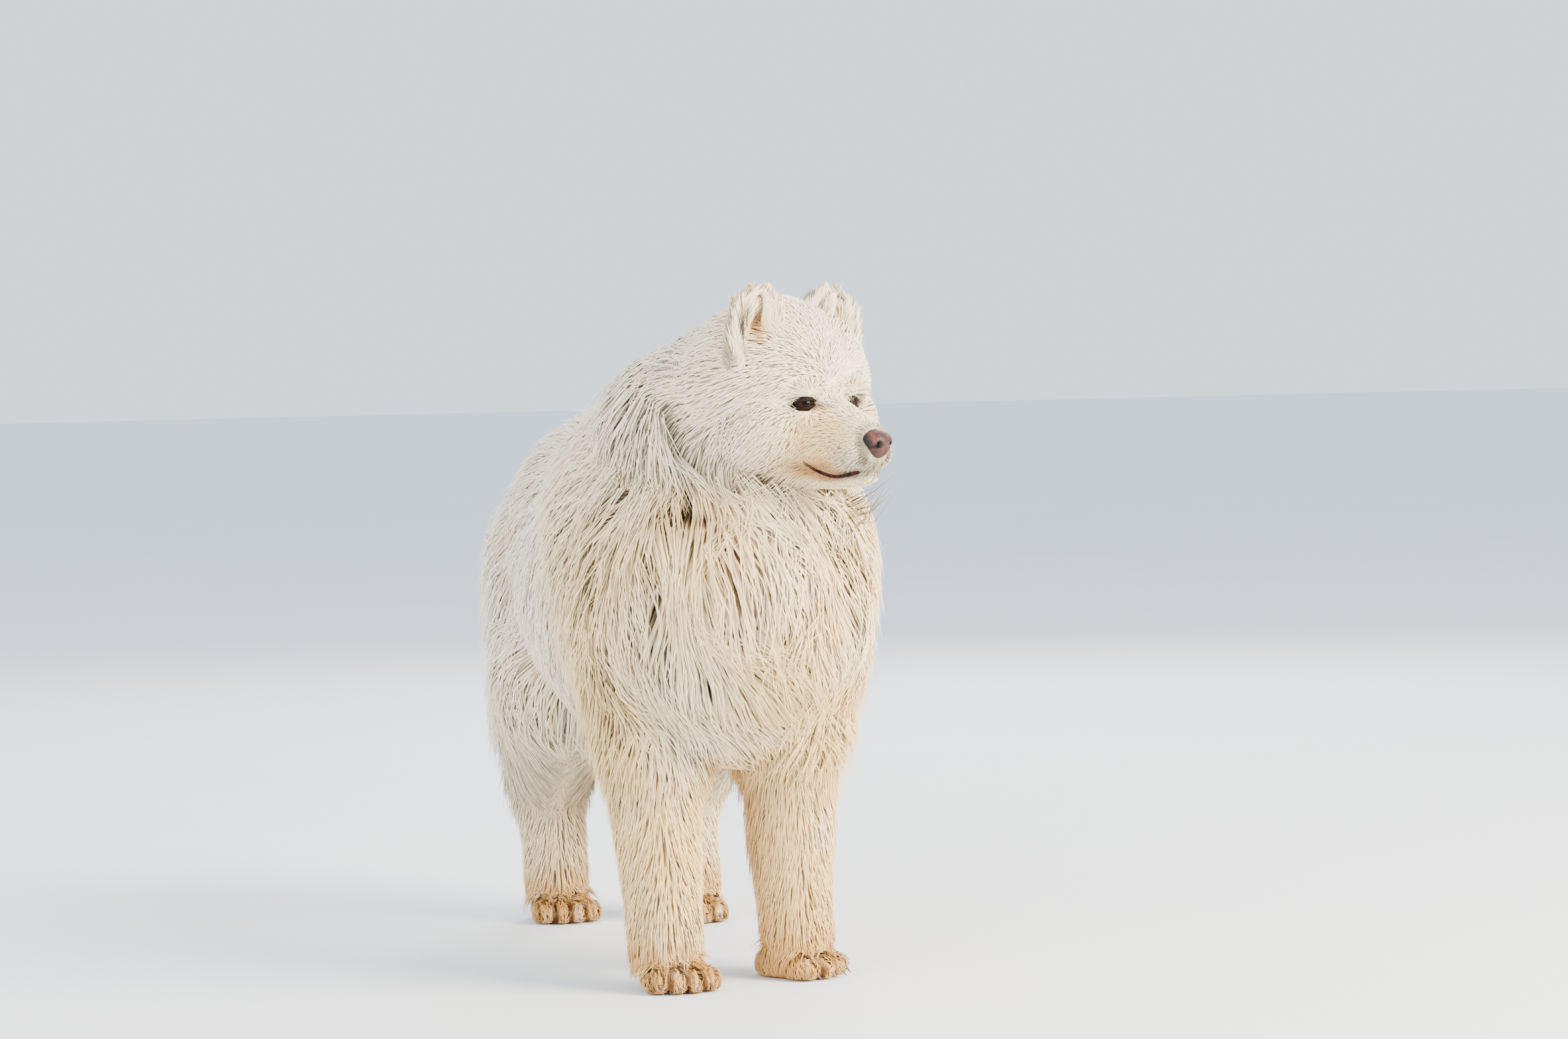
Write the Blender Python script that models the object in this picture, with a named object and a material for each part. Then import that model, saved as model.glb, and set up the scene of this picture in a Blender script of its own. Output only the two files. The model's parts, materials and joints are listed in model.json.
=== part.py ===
"""A samoyed standing still at its size in life, its head turned to its left.

Metres, +Z up. The dog faces -Y and its left side is +X. The origin is under the
middle of the whole model, on the floor. The body is one form, parted by thin cuts
into head, neck, torso, tail and legs, and each part carries its own locks of coat.
"""

import math
import random

import bmesh
import bpy
from mathutils import Matrix, Vector
from mathutils.bvhtree import BVHTree

# Gaps and meshing
GAP = 0.0003
BODY_VOXEL = 0.008
HEAD_VOXEL = 0.004
BODY_FACES = 1300
HEAD_FACES = 1150
SEED = 11

# How far the core of the dense undercoat stands out of the flesh
TORSO_CORE = 0.025
NECK_CORE = 0.028
THIGH_CORE = 0.018
LEG_CORE = 0.011
TAIL_CORE = 0.014
HEAD_CORE = 0.003

# Torso flesh from chest to rump: y, half width, top, bottom
TORSO = (
    (-0.296, 0.030, 0.440, 0.370),
    (-0.276, 0.074, 0.485, 0.315),
    (-0.235, 0.102, 0.530, 0.280),
    (-0.165, 0.113, 0.578, 0.266),
    (-0.080, 0.116, 0.566, 0.262),
    (0.020, 0.114, 0.548, 0.275),
    (0.110, 0.106, 0.548, 0.300),
    (0.180, 0.106, 0.550, 0.312),
    (0.235, 0.092, 0.532, 0.325),
    (0.268, 0.058, 0.490, 0.360),
)

# Neck flesh from shoulders to skull: centre, half width, half depth
NECK = (
    (Vector((0.002, -0.125, 0.445)), 0.090, 0.096),
    (Vector((0.008, -0.174, 0.508)), 0.089, 0.096),
    (Vector((0.017, -0.208, 0.562)), 0.079, 0.086),
    (Vector((0.029, -0.240, 0.606)), 0.068, 0.072),
    (Vector((0.042, -0.266, 0.644)), 0.046, 0.050),
)

# Head: the point midway between the eyes, and how far the head is turned
EYES_MIDDLE = Vector((0.0878, -0.345, 0.597))
HEAD_TURN = math.radians(30)

# Forms of the head in its own axes: left, forward, up from EYES_MIDDLE
SKULL = (
    ((0.000, -0.084, 0.024), (0.081, 0.072, 0.076)),
    ((0.000, -0.051, 0.022), (0.068, 0.048, 0.057)),
    ((0.000, -0.112, -0.016), (0.074, 0.062, 0.068)),
)
SKULL_PAIRS = (
    ((0.043, -0.056, -0.023), (0.033, 0.044, 0.037)),
    ((0.027, -0.016, 0.013), (0.019, 0.014, 0.009)),
    ((0.031, -0.016, -0.013), (0.017, 0.014, 0.009)),
    ((0.021, 0.026, -0.051), (0.011, 0.026, 0.017)),
)
# Muzzle and lower jaw: forward, up, half width, half height
MUZZLE = (
    (-0.060, -0.024, 0.046, 0.040),
    (-0.025, -0.027, 0.040, 0.038),
    (0.000, -0.031, 0.032, 0.034),
    (0.026, -0.038, 0.0265, 0.029),
    (0.046, -0.042, 0.0225, 0.0245),
    (0.057, -0.046, 0.0165, 0.0170),
)
JAW = (
    (-0.080, -0.052, 0.042, 0.024),
    (-0.040, -0.061, 0.034, 0.018),
    (0.000, -0.069, 0.025, 0.0135),
    (0.030, -0.072, 0.018, 0.0105),
    (0.048, -0.070, 0.011, 0.0080),
)
EYE_CENTRE = (0.0310, -0.0170, 0.0)
EYE_RADIUS = 0.0125
EYE_OUTWARD = math.radians(30)
MOUTH_LINE = (
    (0.0390, -0.010, -0.058),
    (0.0345, 0.006, -0.067),
    (0.0300, 0.024, -0.0725),
    (0.0235, 0.042, -0.0700),
    (0.0120, 0.056, -0.0640),
    (0.0000, 0.060, -0.0615),
)
NOSE_CENTRE = (0.0, 0.0555, -0.0405)
NOSE_SIZE = (0.0172, 0.0130, 0.0145)
NOSTRIL = (0.0078, 0.0680, -0.0425)

# Ears: middle of the root, the tip, half width, and the depth of the cup
EAR_ROOT = (0.0500, -0.076, 0.040)
EAR_TIP = (0.0530, -0.056, 0.114)
EAR_FACING = {-1: -0.12, 1: -0.20}
EAR_HALF_WIDTH = 0.030
EAR_CUP = 0.020
EAR_WALL = 0.0090

# Front legs: side, x and y of the heel of the paw, its turn outwards, y of the wrist
FRONT_LEGS = {
    "right": (-1, 0.0640, -0.234, math.radians(-2), -0.226),
    "left": (1, 0.0760, -0.200, math.radians(40), -0.196),
}
# Hind: y of the toes and y of the hock
HIND_LEGS = {
    "right": (-1, 0.2655, 0.338),
    "left": (1, 0.2020, 0.278),
}
FRONT_X = 0.0740
HIND_X = 0.0720
ELBOW_Y = -0.190
PAW_SIZE = (0.035, 0.042, 0.023)
TOE_RADIUS = 0.0115
TOE_REACH = 0.0320
TOE_SPREAD = 0.0270

# Tail hanging behind the rump: centre and radius
TAIL = (
    (Vector((0.000, 0.240, 0.500)), 0.024),
    (Vector((0.000, 0.285, 0.498)), 0.022),
    (Vector((0.002, 0.340, 0.465)), 0.020),
    (Vector((0.006, 0.380, 0.390)), 0.017),
    (Vector((0.009, 0.398, 0.300)), 0.014),
    (Vector((0.010, 0.415, 0.225)), 0.010),
)

# Collar on the neck
COLLAR_CENTRE = Vector((0.010, -0.206, 0.530))
COLLAR_AXIS = Vector((0.17, -0.38, 0.91)).normalized()
COLLAR_WIDTH = 0.024
COLLAR_THICK = 0.0036
BUCKLE = (0.030, 0.0075, 0.032)
BUCKLE_AT = Vector((-0.052, -0.270, 0.487))

# Locks of coat: spacing across and along the lie, sizes in metres, lift of the
# tips over the core, power of the rise towards them, droop and steps
TRUNK_LOCKS = {
    "across": 0.056, "along": 0.074, "length": 0.135, "width": 0.080, "thick": 0.016,
    "lift": 0.042, "rise": 0.75, "droop": 0.3, "steps": 4,
}
RUFF_LOCKS = {
    "across": 0.040, "along": 0.048, "length": 0.120, "width": 0.060, "thick": 0.014,
    "lift": 0.046, "rise": 0.55, "droop": 0.3, "steps": 4,
}
CHEEK_LOCKS = {
    "across": 0.030, "along": 0.038, "length": 0.090, "width": 0.048, "thick": 0.011,
    "lift": 0.020, "rise": 0.65, "droop": 0.5, "steps": 3,
}
LEG_LOCKS = {
    "across": 0.046, "along": 0.074, "length": 0.118, "width": 0.052, "thick": 0.010,
    "lift": 0.020, "rise": 0.75, "droop": 0.2, "steps": 3,
}
TAIL_LOCKS = {
    "across": 0.040, "along": 0.056, "length": 0.120, "width": 0.056, "thick": 0.012,
    "lift": 0.040, "rise": 0.75, "droop": 0.5, "steps": 4,
}
ROOT_DEPTH = 0.007
SEAM_DEPTH = 0.0015
LOWEST_ROOT = 0.050
FLOOR_CLEARANCE = 0.016
TRIES_PER_AREA = 30
ROOT_CLEARANCE = 0.012
# Share of the length and extra lift of each attempt to lay a lock clear
TRIALS = (
    (1.0, 0.0), (1.0, 0.006), (0.95, 0.012), (0.85, 0.018), (0.8, 0.0), (0.75, 0.012),
    (0.65, 0.0), (0.6, 0.018), (0.5, 0.006),
)

# Planes that part the body: a point and the direction towards the part
HEAD_PLANE = (Vector((0.030, -0.262, 0.585)), Vector((0.42, -0.62, 0.62)).normalized())
NECK_PLANE = (Vector((0.000, -0.190, 0.495)), Vector((0.05, -0.52, 0.85)).normalized())
TAIL_PLANE = (Vector((0.000, 0.306, 0.490)), Vector((0.0, 0.96, -0.28)).normalized())
# Cutters round the legs: x, y, size, height at x, and slope of the top
FRONT_CUT = (0.090, -0.215, (0.176, 0.240, 0.500), 0.250, 0.40)
HIND_CUT = (0.136, 0.255, (0.180, 0.330, 0.600), 0.370, 0.50)

# Colours and finishes of the sub-parts: colour, roughness, metallic
FINISHES = {
    "coat": ((0.86, 0.80, 0.70), 0.85, 0.0),
    "ear": ((0.84, 0.72, 0.56), 0.85, 0.0),
    "eye": ((0.030, 0.015, 0.010), 0.08, 0.0),
    "nose": ((0.22, 0.11, 0.10), 0.45, 0.0),
    "collar": ((0.060, 0.065, 0.045), 0.60, 0.0),
    "buckle": ((0.020, 0.020, 0.020), 0.40, 0.0),
}
NODE_FINISHES = {
    "eye_right": "eye",
    "eye_left": "eye",
    "ear_right": "ear",
    "ear_left": "ear",
    "nose": "nose",
    "collar": "collar",
    "collar_buckle": "buckle",
}


def clear_scene():
    for item in list(bpy.data.objects):
        bpy.data.objects.remove(item, do_unlink=True)


def finish_named(name, finish):
    colour, roughness, metallic = FINISHES[finish]
    material = bpy.data.materials.new(name)
    material.use_nodes = True
    shader = material.node_tree.nodes["Principled BSDF"]
    shader.inputs["Base Color"].default_value = (*colour, 1.0)
    shader.inputs["Roughness"].default_value = roughness
    shader.inputs["Metallic"].default_value = metallic
    return material


def object_from(bm, name):
    mesh = bpy.data.meshes.new(name)
    bm.to_mesh(mesh)
    bm.free()
    item = bpy.data.objects.new(name, mesh)
    bpy.context.scene.collection.objects.link(item)
    return item


def evaluated(item):
    """The object's mesh with its modifiers applied, in place of the old one."""
    graph = bpy.context.evaluated_depsgraph_get()
    mesh = bpy.data.meshes.new_from_object(item.evaluated_get(graph))
    old = item.data
    item.modifiers.clear()
    item.data = mesh
    bpy.data.meshes.remove(old)
    return item


def head_matrix():
    return Matrix.Translation(EYES_MIDDLE) @ Matrix.Rotation(HEAD_TURN, 4, "Z")


def in_head(left, forward, up):
    """A point in the head's axes as a point of the dog."""
    return head_matrix() @ Vector((left, -forward, up))


def join_into(target, source):
    """Adds one bmesh to another."""
    mesh = bpy.data.meshes.new("part of a form")
    source.to_mesh(mesh)
    source.free()
    target.from_mesh(mesh)
    bpy.data.meshes.remove(mesh)


def ellipsoid(centre, size, turn=None):
    bm = bmesh.new()
    turn = turn or Matrix.Identity(4)
    scale = Matrix.Diagonal((*size, 1.0))
    matrix = Matrix.Translation(centre) @ turn @ scale
    bmesh.ops.create_icosphere(bm, subdivisions=3, radius=1.0, matrix=matrix)
    return bm


def loft(stations, sides=20):
    """A closed tube through rings: centre, across, beside, half width, half height."""
    bm = bmesh.new()
    rings = []
    for centre, across, beside, wide, high in stations:
        ring = []
        for step in range(sides):
            angle = math.tau * step / sides
            ring.append(bm.verts.new(
                centre + across * (wide * math.cos(angle)) + beside * (high * math.sin(angle))
            ))
        rings.append(ring)
    for near, far in zip(rings, rings[1:]):
        for step in range(sides):
            after = (step + 1) % sides
            bm.faces.new((near[step], near[after], far[after], far[step]))
    bm.faces.new(list(reversed(rings[0])))
    bm.faces.new(rings[-1])
    bmesh.ops.recalc_face_normals(bm, faces=bm.faces)
    return bm


def tube(path, sides=20):
    """A closed tube along points with radii: centre, half width, half depth."""
    stations = []
    for place, (centre, wide, deep) in enumerate(path):
        before = path[max(place - 1, 0)][0]
        after = path[min(place + 1, len(path) - 1)][0]
        along = (after - before).normalized()
        across = (Vector((1, 0, 0)) - along * along.x).normalized()
        stations.append((centre, across, along.cross(across), wide, deep))
    return loft(stations, sides)


def thicker(path, core):
    return [(centre, wide + core, deep + core) for centre, wide, deep in path]


def torso_form():
    across, up = Vector((1, 0, 0)), Vector((0, 0, 1))
    stations = []
    first, last = TORSO[0], TORSO[-1]
    rows = [(first[0], first[1], first[2], first[3], -1.0, 0.30)]
    rows.append((first[0], first[1], first[2], first[3], -0.7, 0.75))
    rows.extend((*row, 0.0, 1.0) for row in TORSO)
    rows.append((last[0], last[1], last[2], last[3], 0.7, 0.75))
    rows.append((last[0], last[1], last[2], last[3], 1.0, 0.30))
    for y, wide, top, bottom, beyond, share in rows:
        centre = Vector((0, y + beyond * TORSO_CORE, (top + bottom) / 2))
        half = (top - bottom) / 2 + TORSO_CORE
        stations.append((centre, across, up, (wide + TORSO_CORE) * share, half * share))
    return loft(stations, 28)


def front_leg_path(side, wrist_y):
    half = (ELBOW_Y + wrist_y) / 2
    x = side * FRONT_X
    return [
        (Vector((side * 0.068, -0.190, 0.440)), 0.034, 0.075),
        (Vector((side * 0.074, -0.196, 0.360)), 0.027, 0.056),
        (Vector((side * 0.076, ELBOW_Y, 0.285)), 0.025, 0.037),
        (Vector((x, half, 0.190)), 0.024, 0.028),
        (Vector((x, wrist_y, 0.100)), 0.023, 0.026),
        (Vector((x, wrist_y - 0.008, 0.045)), 0.024, 0.026),
        (Vector((x, wrist_y - 0.010, 0.020)), 0.021, 0.022),
    ]


def hind_leg_path(side, toe_y, hock_y):
    lean = (hock_y - 0.338) * 0.5
    return [
        (Vector((side * 0.058, 0.190, 0.460)), 0.052, 0.080),
        (Vector((side * 0.074, 0.172 + lean * 0.4, 0.380)), 0.050, 0.078),
        (Vector((side * 0.082, 0.168 + lean, 0.300)), 0.038, 0.056),
        (Vector((side * 0.079, (0.185 + lean + hock_y) / 2, 0.225)), 0.028, 0.038),
        (Vector((side * 0.075, hock_y, 0.150)), 0.023, 0.029),
        (Vector((side * HIND_X, hock_y - 0.012, 0.085)), 0.022, 0.024),
        (Vector((side * HIND_X, toe_y + 0.054, 0.038)), 0.022, 0.026),
        (Vector((side * HIND_X, toe_y + 0.048, 0.020)), 0.020, 0.022),
    ]


def paw_form(side, x, y, turn):
    """A foot with four toes, each ending in a blunt claw."""
    heel = Vector((side * x, y, 0.0))
    spin = Matrix.Translation(heel) @ Matrix.Rotation(side * turn, 4, "Z")
    bm = ellipsoid(spin @ Vector((0, 0.006, 0.012)), PAW_SIZE, spin.to_3x3().to_4x4())
    for toe in range(4):
        share = (toe - 1.5) / 1.5
        reach = TOE_REACH - 0.010 * abs(share)
        centre = spin @ Vector((TOE_SPREAD * share, -reach, 0.0110))
        size = (TOE_RADIUS, TOE_RADIUS * 1.65, TOE_RADIUS * 1.05)
        join_into(bm, ellipsoid(centre, size, spin.to_3x3().to_4x4()))
        claw = spin @ Vector((TOE_SPREAD * share, -reach - 0.0175, 0.0060))
        join_into(bm, ellipsoid(claw, (0.0030, 0.0065, 0.0032), spin.to_3x3().to_4x4()))
    return bm


def ellipsoids_of_head(bm):
    turn = Matrix.Rotation(HEAD_TURN, 4, "Z")
    forms = list(SKULL)
    for centre, size in SKULL_PAIRS:
        forms.append((centre, size))
        forms.append(((-centre[0], centre[1], centre[2]), size))
    for centre, size in forms:
        grown = tuple(value + HEAD_CORE for value in size)
        join_into(bm, ellipsoid(in_head(*centre), grown, turn))


def head_loft(rows):
    across = in_head(1, 0, 0) - in_head(0, 0, 0)
    up = Vector((0, 0, 1))
    stations = []
    for forward, height, wide, high in rows:
        stations.append((
            in_head(0, forward, height), across, up, wide + HEAD_CORE, high + HEAD_CORE
        ))
    return loft(stations)


def melted(bm, name, voxel, faces, rounds):
    """One smooth closed form from overlapping ones, with about the given faces."""
    item = object_from(bm, name)
    remesh = item.modifiers.new("one form", "REMESH")
    remesh.mode = "VOXEL"
    remesh.voxel_size = voxel
    smooth = item.modifiers.new("flow", "SMOOTH")
    smooth.factor = 0.5
    smooth.iterations = rounds
    evaluated(item)
    fewer = item.modifiers.new("fewer faces", "DECIMATE")
    fewer.ratio = faces / (2 * len(item.data.polygons))
    fewer.use_collapse_triangulate = True
    return evaluated(item)


def body_form():
    bm = torso_form()
    join_into(bm, tube(thicker(NECK, NECK_CORE), 24))
    for side, x, y, turn, wrist_y in FRONT_LEGS.values():
        path = front_leg_path(side, wrist_y)
        upper, lower = thicker(path[:3], THIGH_CORE), thicker(path[3:], LEG_CORE)
        join_into(bm, tube(upper + lower))
        join_into(bm, paw_form(side, x, y, turn))
    for side, toe_y, hock_y in HIND_LEGS.values():
        path = hind_leg_path(side, toe_y, hock_y)
        upper, lower = thicker(path[:3], THIGH_CORE), thicker(path[3:], LEG_CORE)
        join_into(bm, tube(upper + lower))
        join_into(bm, paw_form(side, HIND_X - 0.004, toe_y + PAW_SIZE[1], 0.0))
    join_into(bm, tube([(c, r + TAIL_CORE, r + TAIL_CORE) for c, r in TAIL], 16))
    return melted(bm, "body", BODY_VOXEL, BODY_FACES, 3)


def head_form():
    bm = head_loft(MUZZLE)
    join_into(bm, head_loft(JAW))
    ellipsoids_of_head(bm)
    join_into(bm, tube(thicker(NECK, NECK_CORE), 24))
    return melted(bm, "head", HEAD_VOXEL, HEAD_FACES, 6)


def block(name, matrix, size):
    """A box cutter, its middle and axes given by the matrix."""
    bm = bmesh.new()
    bmesh.ops.create_cube(bm, size=1.0, matrix=matrix @ Matrix.Diagonal((*size, 1.0)))
    item = object_from(bm, name)
    item.hide_render = True
    item.display_type = "WIRE"
    return item


def copy_of(item, name):
    twin = bpy.data.objects.new(name, item.data.copy())
    bpy.context.scene.collection.objects.link(twin)
    return twin


def boolean(item, other, operation, solver="EXACT"):
    cut = item.modifiers.new(operation.lower(), "BOOLEAN")
    cut.operation = operation
    cut.solver = solver
    cut.object = other
    return evaluated(item)


def largest_only(item):
    """Keeps the largest closed surface of the mesh, and closes no gap."""
    bm = bmesh.new()
    bm.from_mesh(item.data)
    left = set(bm.verts)
    pieces = []
    while left:
        reached = [left.pop()]
        piece = set(reached)
        while reached:
            for edge in reached.pop().link_edges:
                for vert in edge.verts:
                    if vert in left:
                        left.discard(vert)
                        piece.add(vert)
                        reached.append(vert)
        pieces.append(piece)
    pieces.sort(key=spread_of)
    for piece in pieces[:-1]:
        bmesh.ops.delete(bm, geom=list(piece), context="VERTS")
    bm.to_mesh(item.data)
    bm.free()
    return item


def spread_of(verts):
    corners = [vert.co for vert in verts]
    low = [min(corner[axis] for corner in corners) for axis in range(3)]
    high = [max(corner[axis] for corner in corners) for axis in range(3)]
    return (Vector(high) - Vector(low)).length


def half_space(name, point, outward, reach=1.6):
    """A block that holds all on the outward side of a plane."""
    turn = outward.to_track_quat("Z", "Y").to_matrix().to_4x4()
    matrix = Matrix.Translation(point + outward.normalized() * reach / 2) @ turn
    return block(name, matrix, (reach, reach, reach))


def split(item, name, make_block):
    """Parts off what lies in a block, and leaves a thin gap where it was cut."""
    piece = copy_of(item, name)
    inner = make_block(0.0)
    boolean(piece, inner, "INTERSECT")
    outer = make_block(GAP)
    boolean(item, outer, "DIFFERENCE")
    bpy.data.objects.remove(inner)
    bpy.data.objects.remove(outer)
    largest_only(item)
    return largest_only(piece)


def plane_block(plane):
    point, outward = plane

    def make(gap):
        return half_space("cutter", point - outward * gap, outward)

    return make


def leg_block(side, x, y, size, height, slope):
    """A cutter round one leg. Its top rises outwards by the slope."""

    def make(gap):
        shear = Matrix.Identity(4)
        shear[2][0] = side * slope
        middle = Matrix.Translation((side * x, y, height + gap))
        drop = Matrix.Translation((0, 0, -size[2] / 2))
        grown = (size[0] + 2 * gap, size[1] + 2 * gap, size[2])
        return block("cutter", middle @ shear @ drop, grown)

    return make


def tree_over(items):
    """A search tree over the faces of meshes that sit at the origin."""
    points = []
    faces = []
    for item in items:
        first = len(points)
        points.extend(vert.co.copy() for vert in item.data.vertices)
        faces.extend([first + index for index in face.vertices] for face in item.data.polygons)
    return BVHTree.FromPolygons(points, faces)


def floor_cut(item):
    below = half_space("floor", Vector((0, 0, 0.0)), Vector((0, 0, -1)))
    boolean(item, below, "DIFFERENCE")
    bpy.data.objects.remove(below)
    return item


def part_body():
    """The nodes of the body, still without their locks, and the skin they share."""
    nodes = {}
    body = floor_cut(body_form())
    whole_head = head_form()
    skin = tree_over([body, whole_head])
    for name, (side, *_) in FRONT_LEGS.items():
        nodes["leg_front_" + name] = split(body, "leg_front_" + name, leg_block(side, *FRONT_CUT))
    for name, (side, *_) in HIND_LEGS.items():
        nodes["leg_hind_" + name] = split(body, "leg_hind_" + name, leg_block(side, *HIND_CUT))
    nodes["tail"] = split(body, "tail", plane_block(TAIL_PLANE))
    rest = split(body, "neck", plane_block(NECK_PLANE))
    body.name = "torso"
    nodes["torso"] = body
    head_side = split(rest, "beyond the neck", plane_block(HEAD_PLANE))
    bpy.data.objects.remove(head_side)
    nodes["neck"] = rest
    nodes["head"] = split(whole_head, "head", plane_block(HEAD_PLANE))
    bpy.data.objects.remove(whole_head)
    return nodes, skin


def rings_to_solid(rings):
    """A closed form over rings of equal count, with a flat end at each side."""
    bm = bmesh.new()
    rows = [[bm.verts.new(point) for point in ring] for ring in rings]
    for near, far in zip(rows, rows[1:]):
        for step in range(len(near)):
            after = (step + 1) % len(near)
            bm.faces.new((near[step], near[after], far[after], far[step]))
    bm.faces.new(list(reversed(rows[0])))
    bm.faces.new(rows[-1])
    bmesh.ops.recalc_face_normals(bm, faces=bm.faces)
    return bm


def turned_in_head(left, forward, up):
    return (in_head(left, forward, up) - in_head(0, 0, 0)).normalized()


def ear_form(side):
    """A pointed ear with a hollow front, its root sunk into the skull."""
    root = in_head(side * EAR_ROOT[0], EAR_ROOT[1], EAR_ROOT[2])
    tip = in_head(side * EAR_TIP[0], EAR_TIP[1], EAR_TIP[2])
    axis = tip - root
    facing = turned_in_head(EAR_FACING[side], 0.99, 0.0)
    across = axis.normalized().cross(facing).normalized()
    facing = across.cross(axis.normalized())
    columns = (-1.0, -0.55, 0.0, 0.55, 1.0)
    rings = []
    for share in (-0.30, 0.10, 0.42, 0.70, 0.90, 1.0):
        wide = EAR_HALF_WIDTH * math.sqrt(max(1.045 - max(share, 0) ** 2.3, 0.0))
        hollow = EAR_CUP * (1 - 0.75 * max(share, 0))
        middle = root + axis * share
        back = []
        front = []
        for column in columns:
            edge = middle + across * (wide * column) + facing * (hollow * column ** 2)
            wall = EAR_WALL * (1 - 0.55 * max(share, 0)) * (1 - 0.6 * column ** 2)
            back.append(edge - facing * wall / 2)
            front.append(edge + facing * wall / 2)
        rings.append(back + front[::-1])
    return rings_to_solid(rings)


def eye_axes(side):
    """The middle of an eye, and its outward, sideways and upward directions."""
    centre = in_head(side * EYE_CENTRE[0], EYE_CENTRE[1], EYE_CENTRE[2])
    outward = turned_in_head(side * math.sin(EYE_OUTWARD), math.cos(EYE_OUTWARD), 0.0)
    up = Vector((0, 0, 1))
    return centre, outward, up.cross(outward).normalized(), up


def ball(centre, size, turn=None):
    bm = bmesh.new()
    matrix = Matrix.Translation(centre) @ (turn or Matrix.Identity(4))
    matrix = matrix @ Matrix.Diagonal((*size, 1.0))
    bmesh.ops.create_uvsphere(bm, u_segments=12, v_segments=8, radius=1.0, matrix=matrix)
    return bm


def lid_form(side, rise):
    """One tapered lid over an eye. The rise is upward for the upper lid."""
    centre, outward, sideways, up = eye_axes(side)
    radius = EYE_RADIUS + 0.0007
    path = []
    for step in range(7):
        share = step / 6
        turn = math.radians(60) * (2 * share - 1)
        height = rise * math.sin(math.pi * share)
        flat = outward * math.cos(turn) + sideways * math.sin(turn)
        point = centre + (flat * math.cos(height) + up * math.sin(height)) * radius
        thick = 0.0012 + 0.0014 * math.sin(math.pi * share)
        path.append((point, thick, thick))
    return tube(path, 6)


def surface_of(item):
    return tree_over([item])


def mouth_path(head, lower, thick):
    """The line of the mouth from one corner round to the other, on the head."""
    skin = surface_of(head)
    points = [in_head(left, forward, up - lower) for left, forward, up in MOUTH_LINE]
    others = [in_head(-left, forward, up - lower) for left, forward, up in MOUTH_LINE[:-1]]
    path = []
    for place, point in enumerate(points + others[::-1]):
        on_skin = skin.find_nearest(point)[0]
        ends = place in (0, len(points) + len(others) - 1)
        size = thick * (0.5 if ends else 1.0)
        path.append((on_skin, size, size))
    return path


def mesh_grown(item, name, distance):
    """A twin of a mesh pushed outwards by a distance."""
    twin = copy_of(item, name)
    bm = bmesh.new()
    bm.from_mesh(twin.data)
    bm.normal_update()
    for vert in bm.verts:
        vert.co += vert.normal * distance
    bm.to_mesh(twin.data)
    bm.free()
    twin.hide_render = True
    twin.display_type = "WIRE"
    return twin


def carve(item, bm):
    cutter = object_from(bm, "cutter")
    boolean(item, cutter, "DIFFERENCE", "MANIFOLD")
    bpy.data.objects.remove(cutter)
    return largest_only(item)


def fuse(item, forms):
    """Joins closed forms to a node in one union, and keeps one closed surface."""
    gathered = bpy.data.collections.new("forms of " + item.name)
    bpy.context.scene.collection.children.link(gathered)
    for number, bm in enumerate(forms):
        mesh = bpy.data.meshes.new("form")
        bm.to_mesh(mesh)
        bm.free()
        gathered.objects.link(bpy.data.objects.new("form %d" % number, mesh))
    union = item.modifiers.new("union", "BOOLEAN")
    union.operation = "UNION"
    union.operand_type = "COLLECTION"
    union.collection = gathered
    union.solver = "MANIFOLD"
    evaluated(item)
    for form in list(gathered.objects):
        bpy.data.objects.remove(form)
    bpy.data.collections.remove(gathered)
    return largest_only(item)


def face_details(nodes):
    """Lids, lips, the line of the mouth, eyes, nose and ears."""
    head = nodes["head"]
    forms = []
    for side in (-1, 1):
        forms.append(lid_form(side, math.radians(27)))
        forms.append(lid_form(side, -math.radians(24)))
    forms.append(tube(mouth_path(head, -0.0048, 0.0030), 6))
    forms.append(tube(mouth_path(head, 0.0046, 0.0026), 6))
    fuse(head, forms)
    carve(head, tube(mouth_path(head, 0.0, 0.0024), 6))
    for side, name in ((-1, "right"), (1, "left")):
        centre = eye_axes(side)[0]
        seat = EYE_RADIUS + GAP
        carve(head, ball(centre, (seat, seat, seat)))
        eye = object_from(ball(centre, (EYE_RADIUS,) * 3), "eye_" + name)
        nodes["eye_" + name] = eye
    turn = Matrix.Rotation(HEAD_TURN, 4, "Z")
    at = in_head(*NOSE_CENTRE)
    carve(head, ball(at, tuple(value + GAP for value in NOSE_SIZE), turn))
    nose = object_from(ball(at, NOSE_SIZE, turn), "nose")
    for side in (-1, 1):
        left, forward, up = NOSTRIL
        hole = in_head(side * left, forward, up)
        carve(nose, ball(hole, (0.0036, 0.0070, 0.0030), turn))
    nodes["nose"] = nose
    skull = mesh_grown(head, "skull", GAP)
    for side, name in ((-1, "right"), (1, "left")):
        ear = object_from(ear_form(side), "ear_" + name)
        boolean(ear, skull, "DIFFERENCE", "MANIFOLD")
        nodes["ear_" + name] = largest_only(ear)
    bpy.data.objects.remove(skull)


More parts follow.
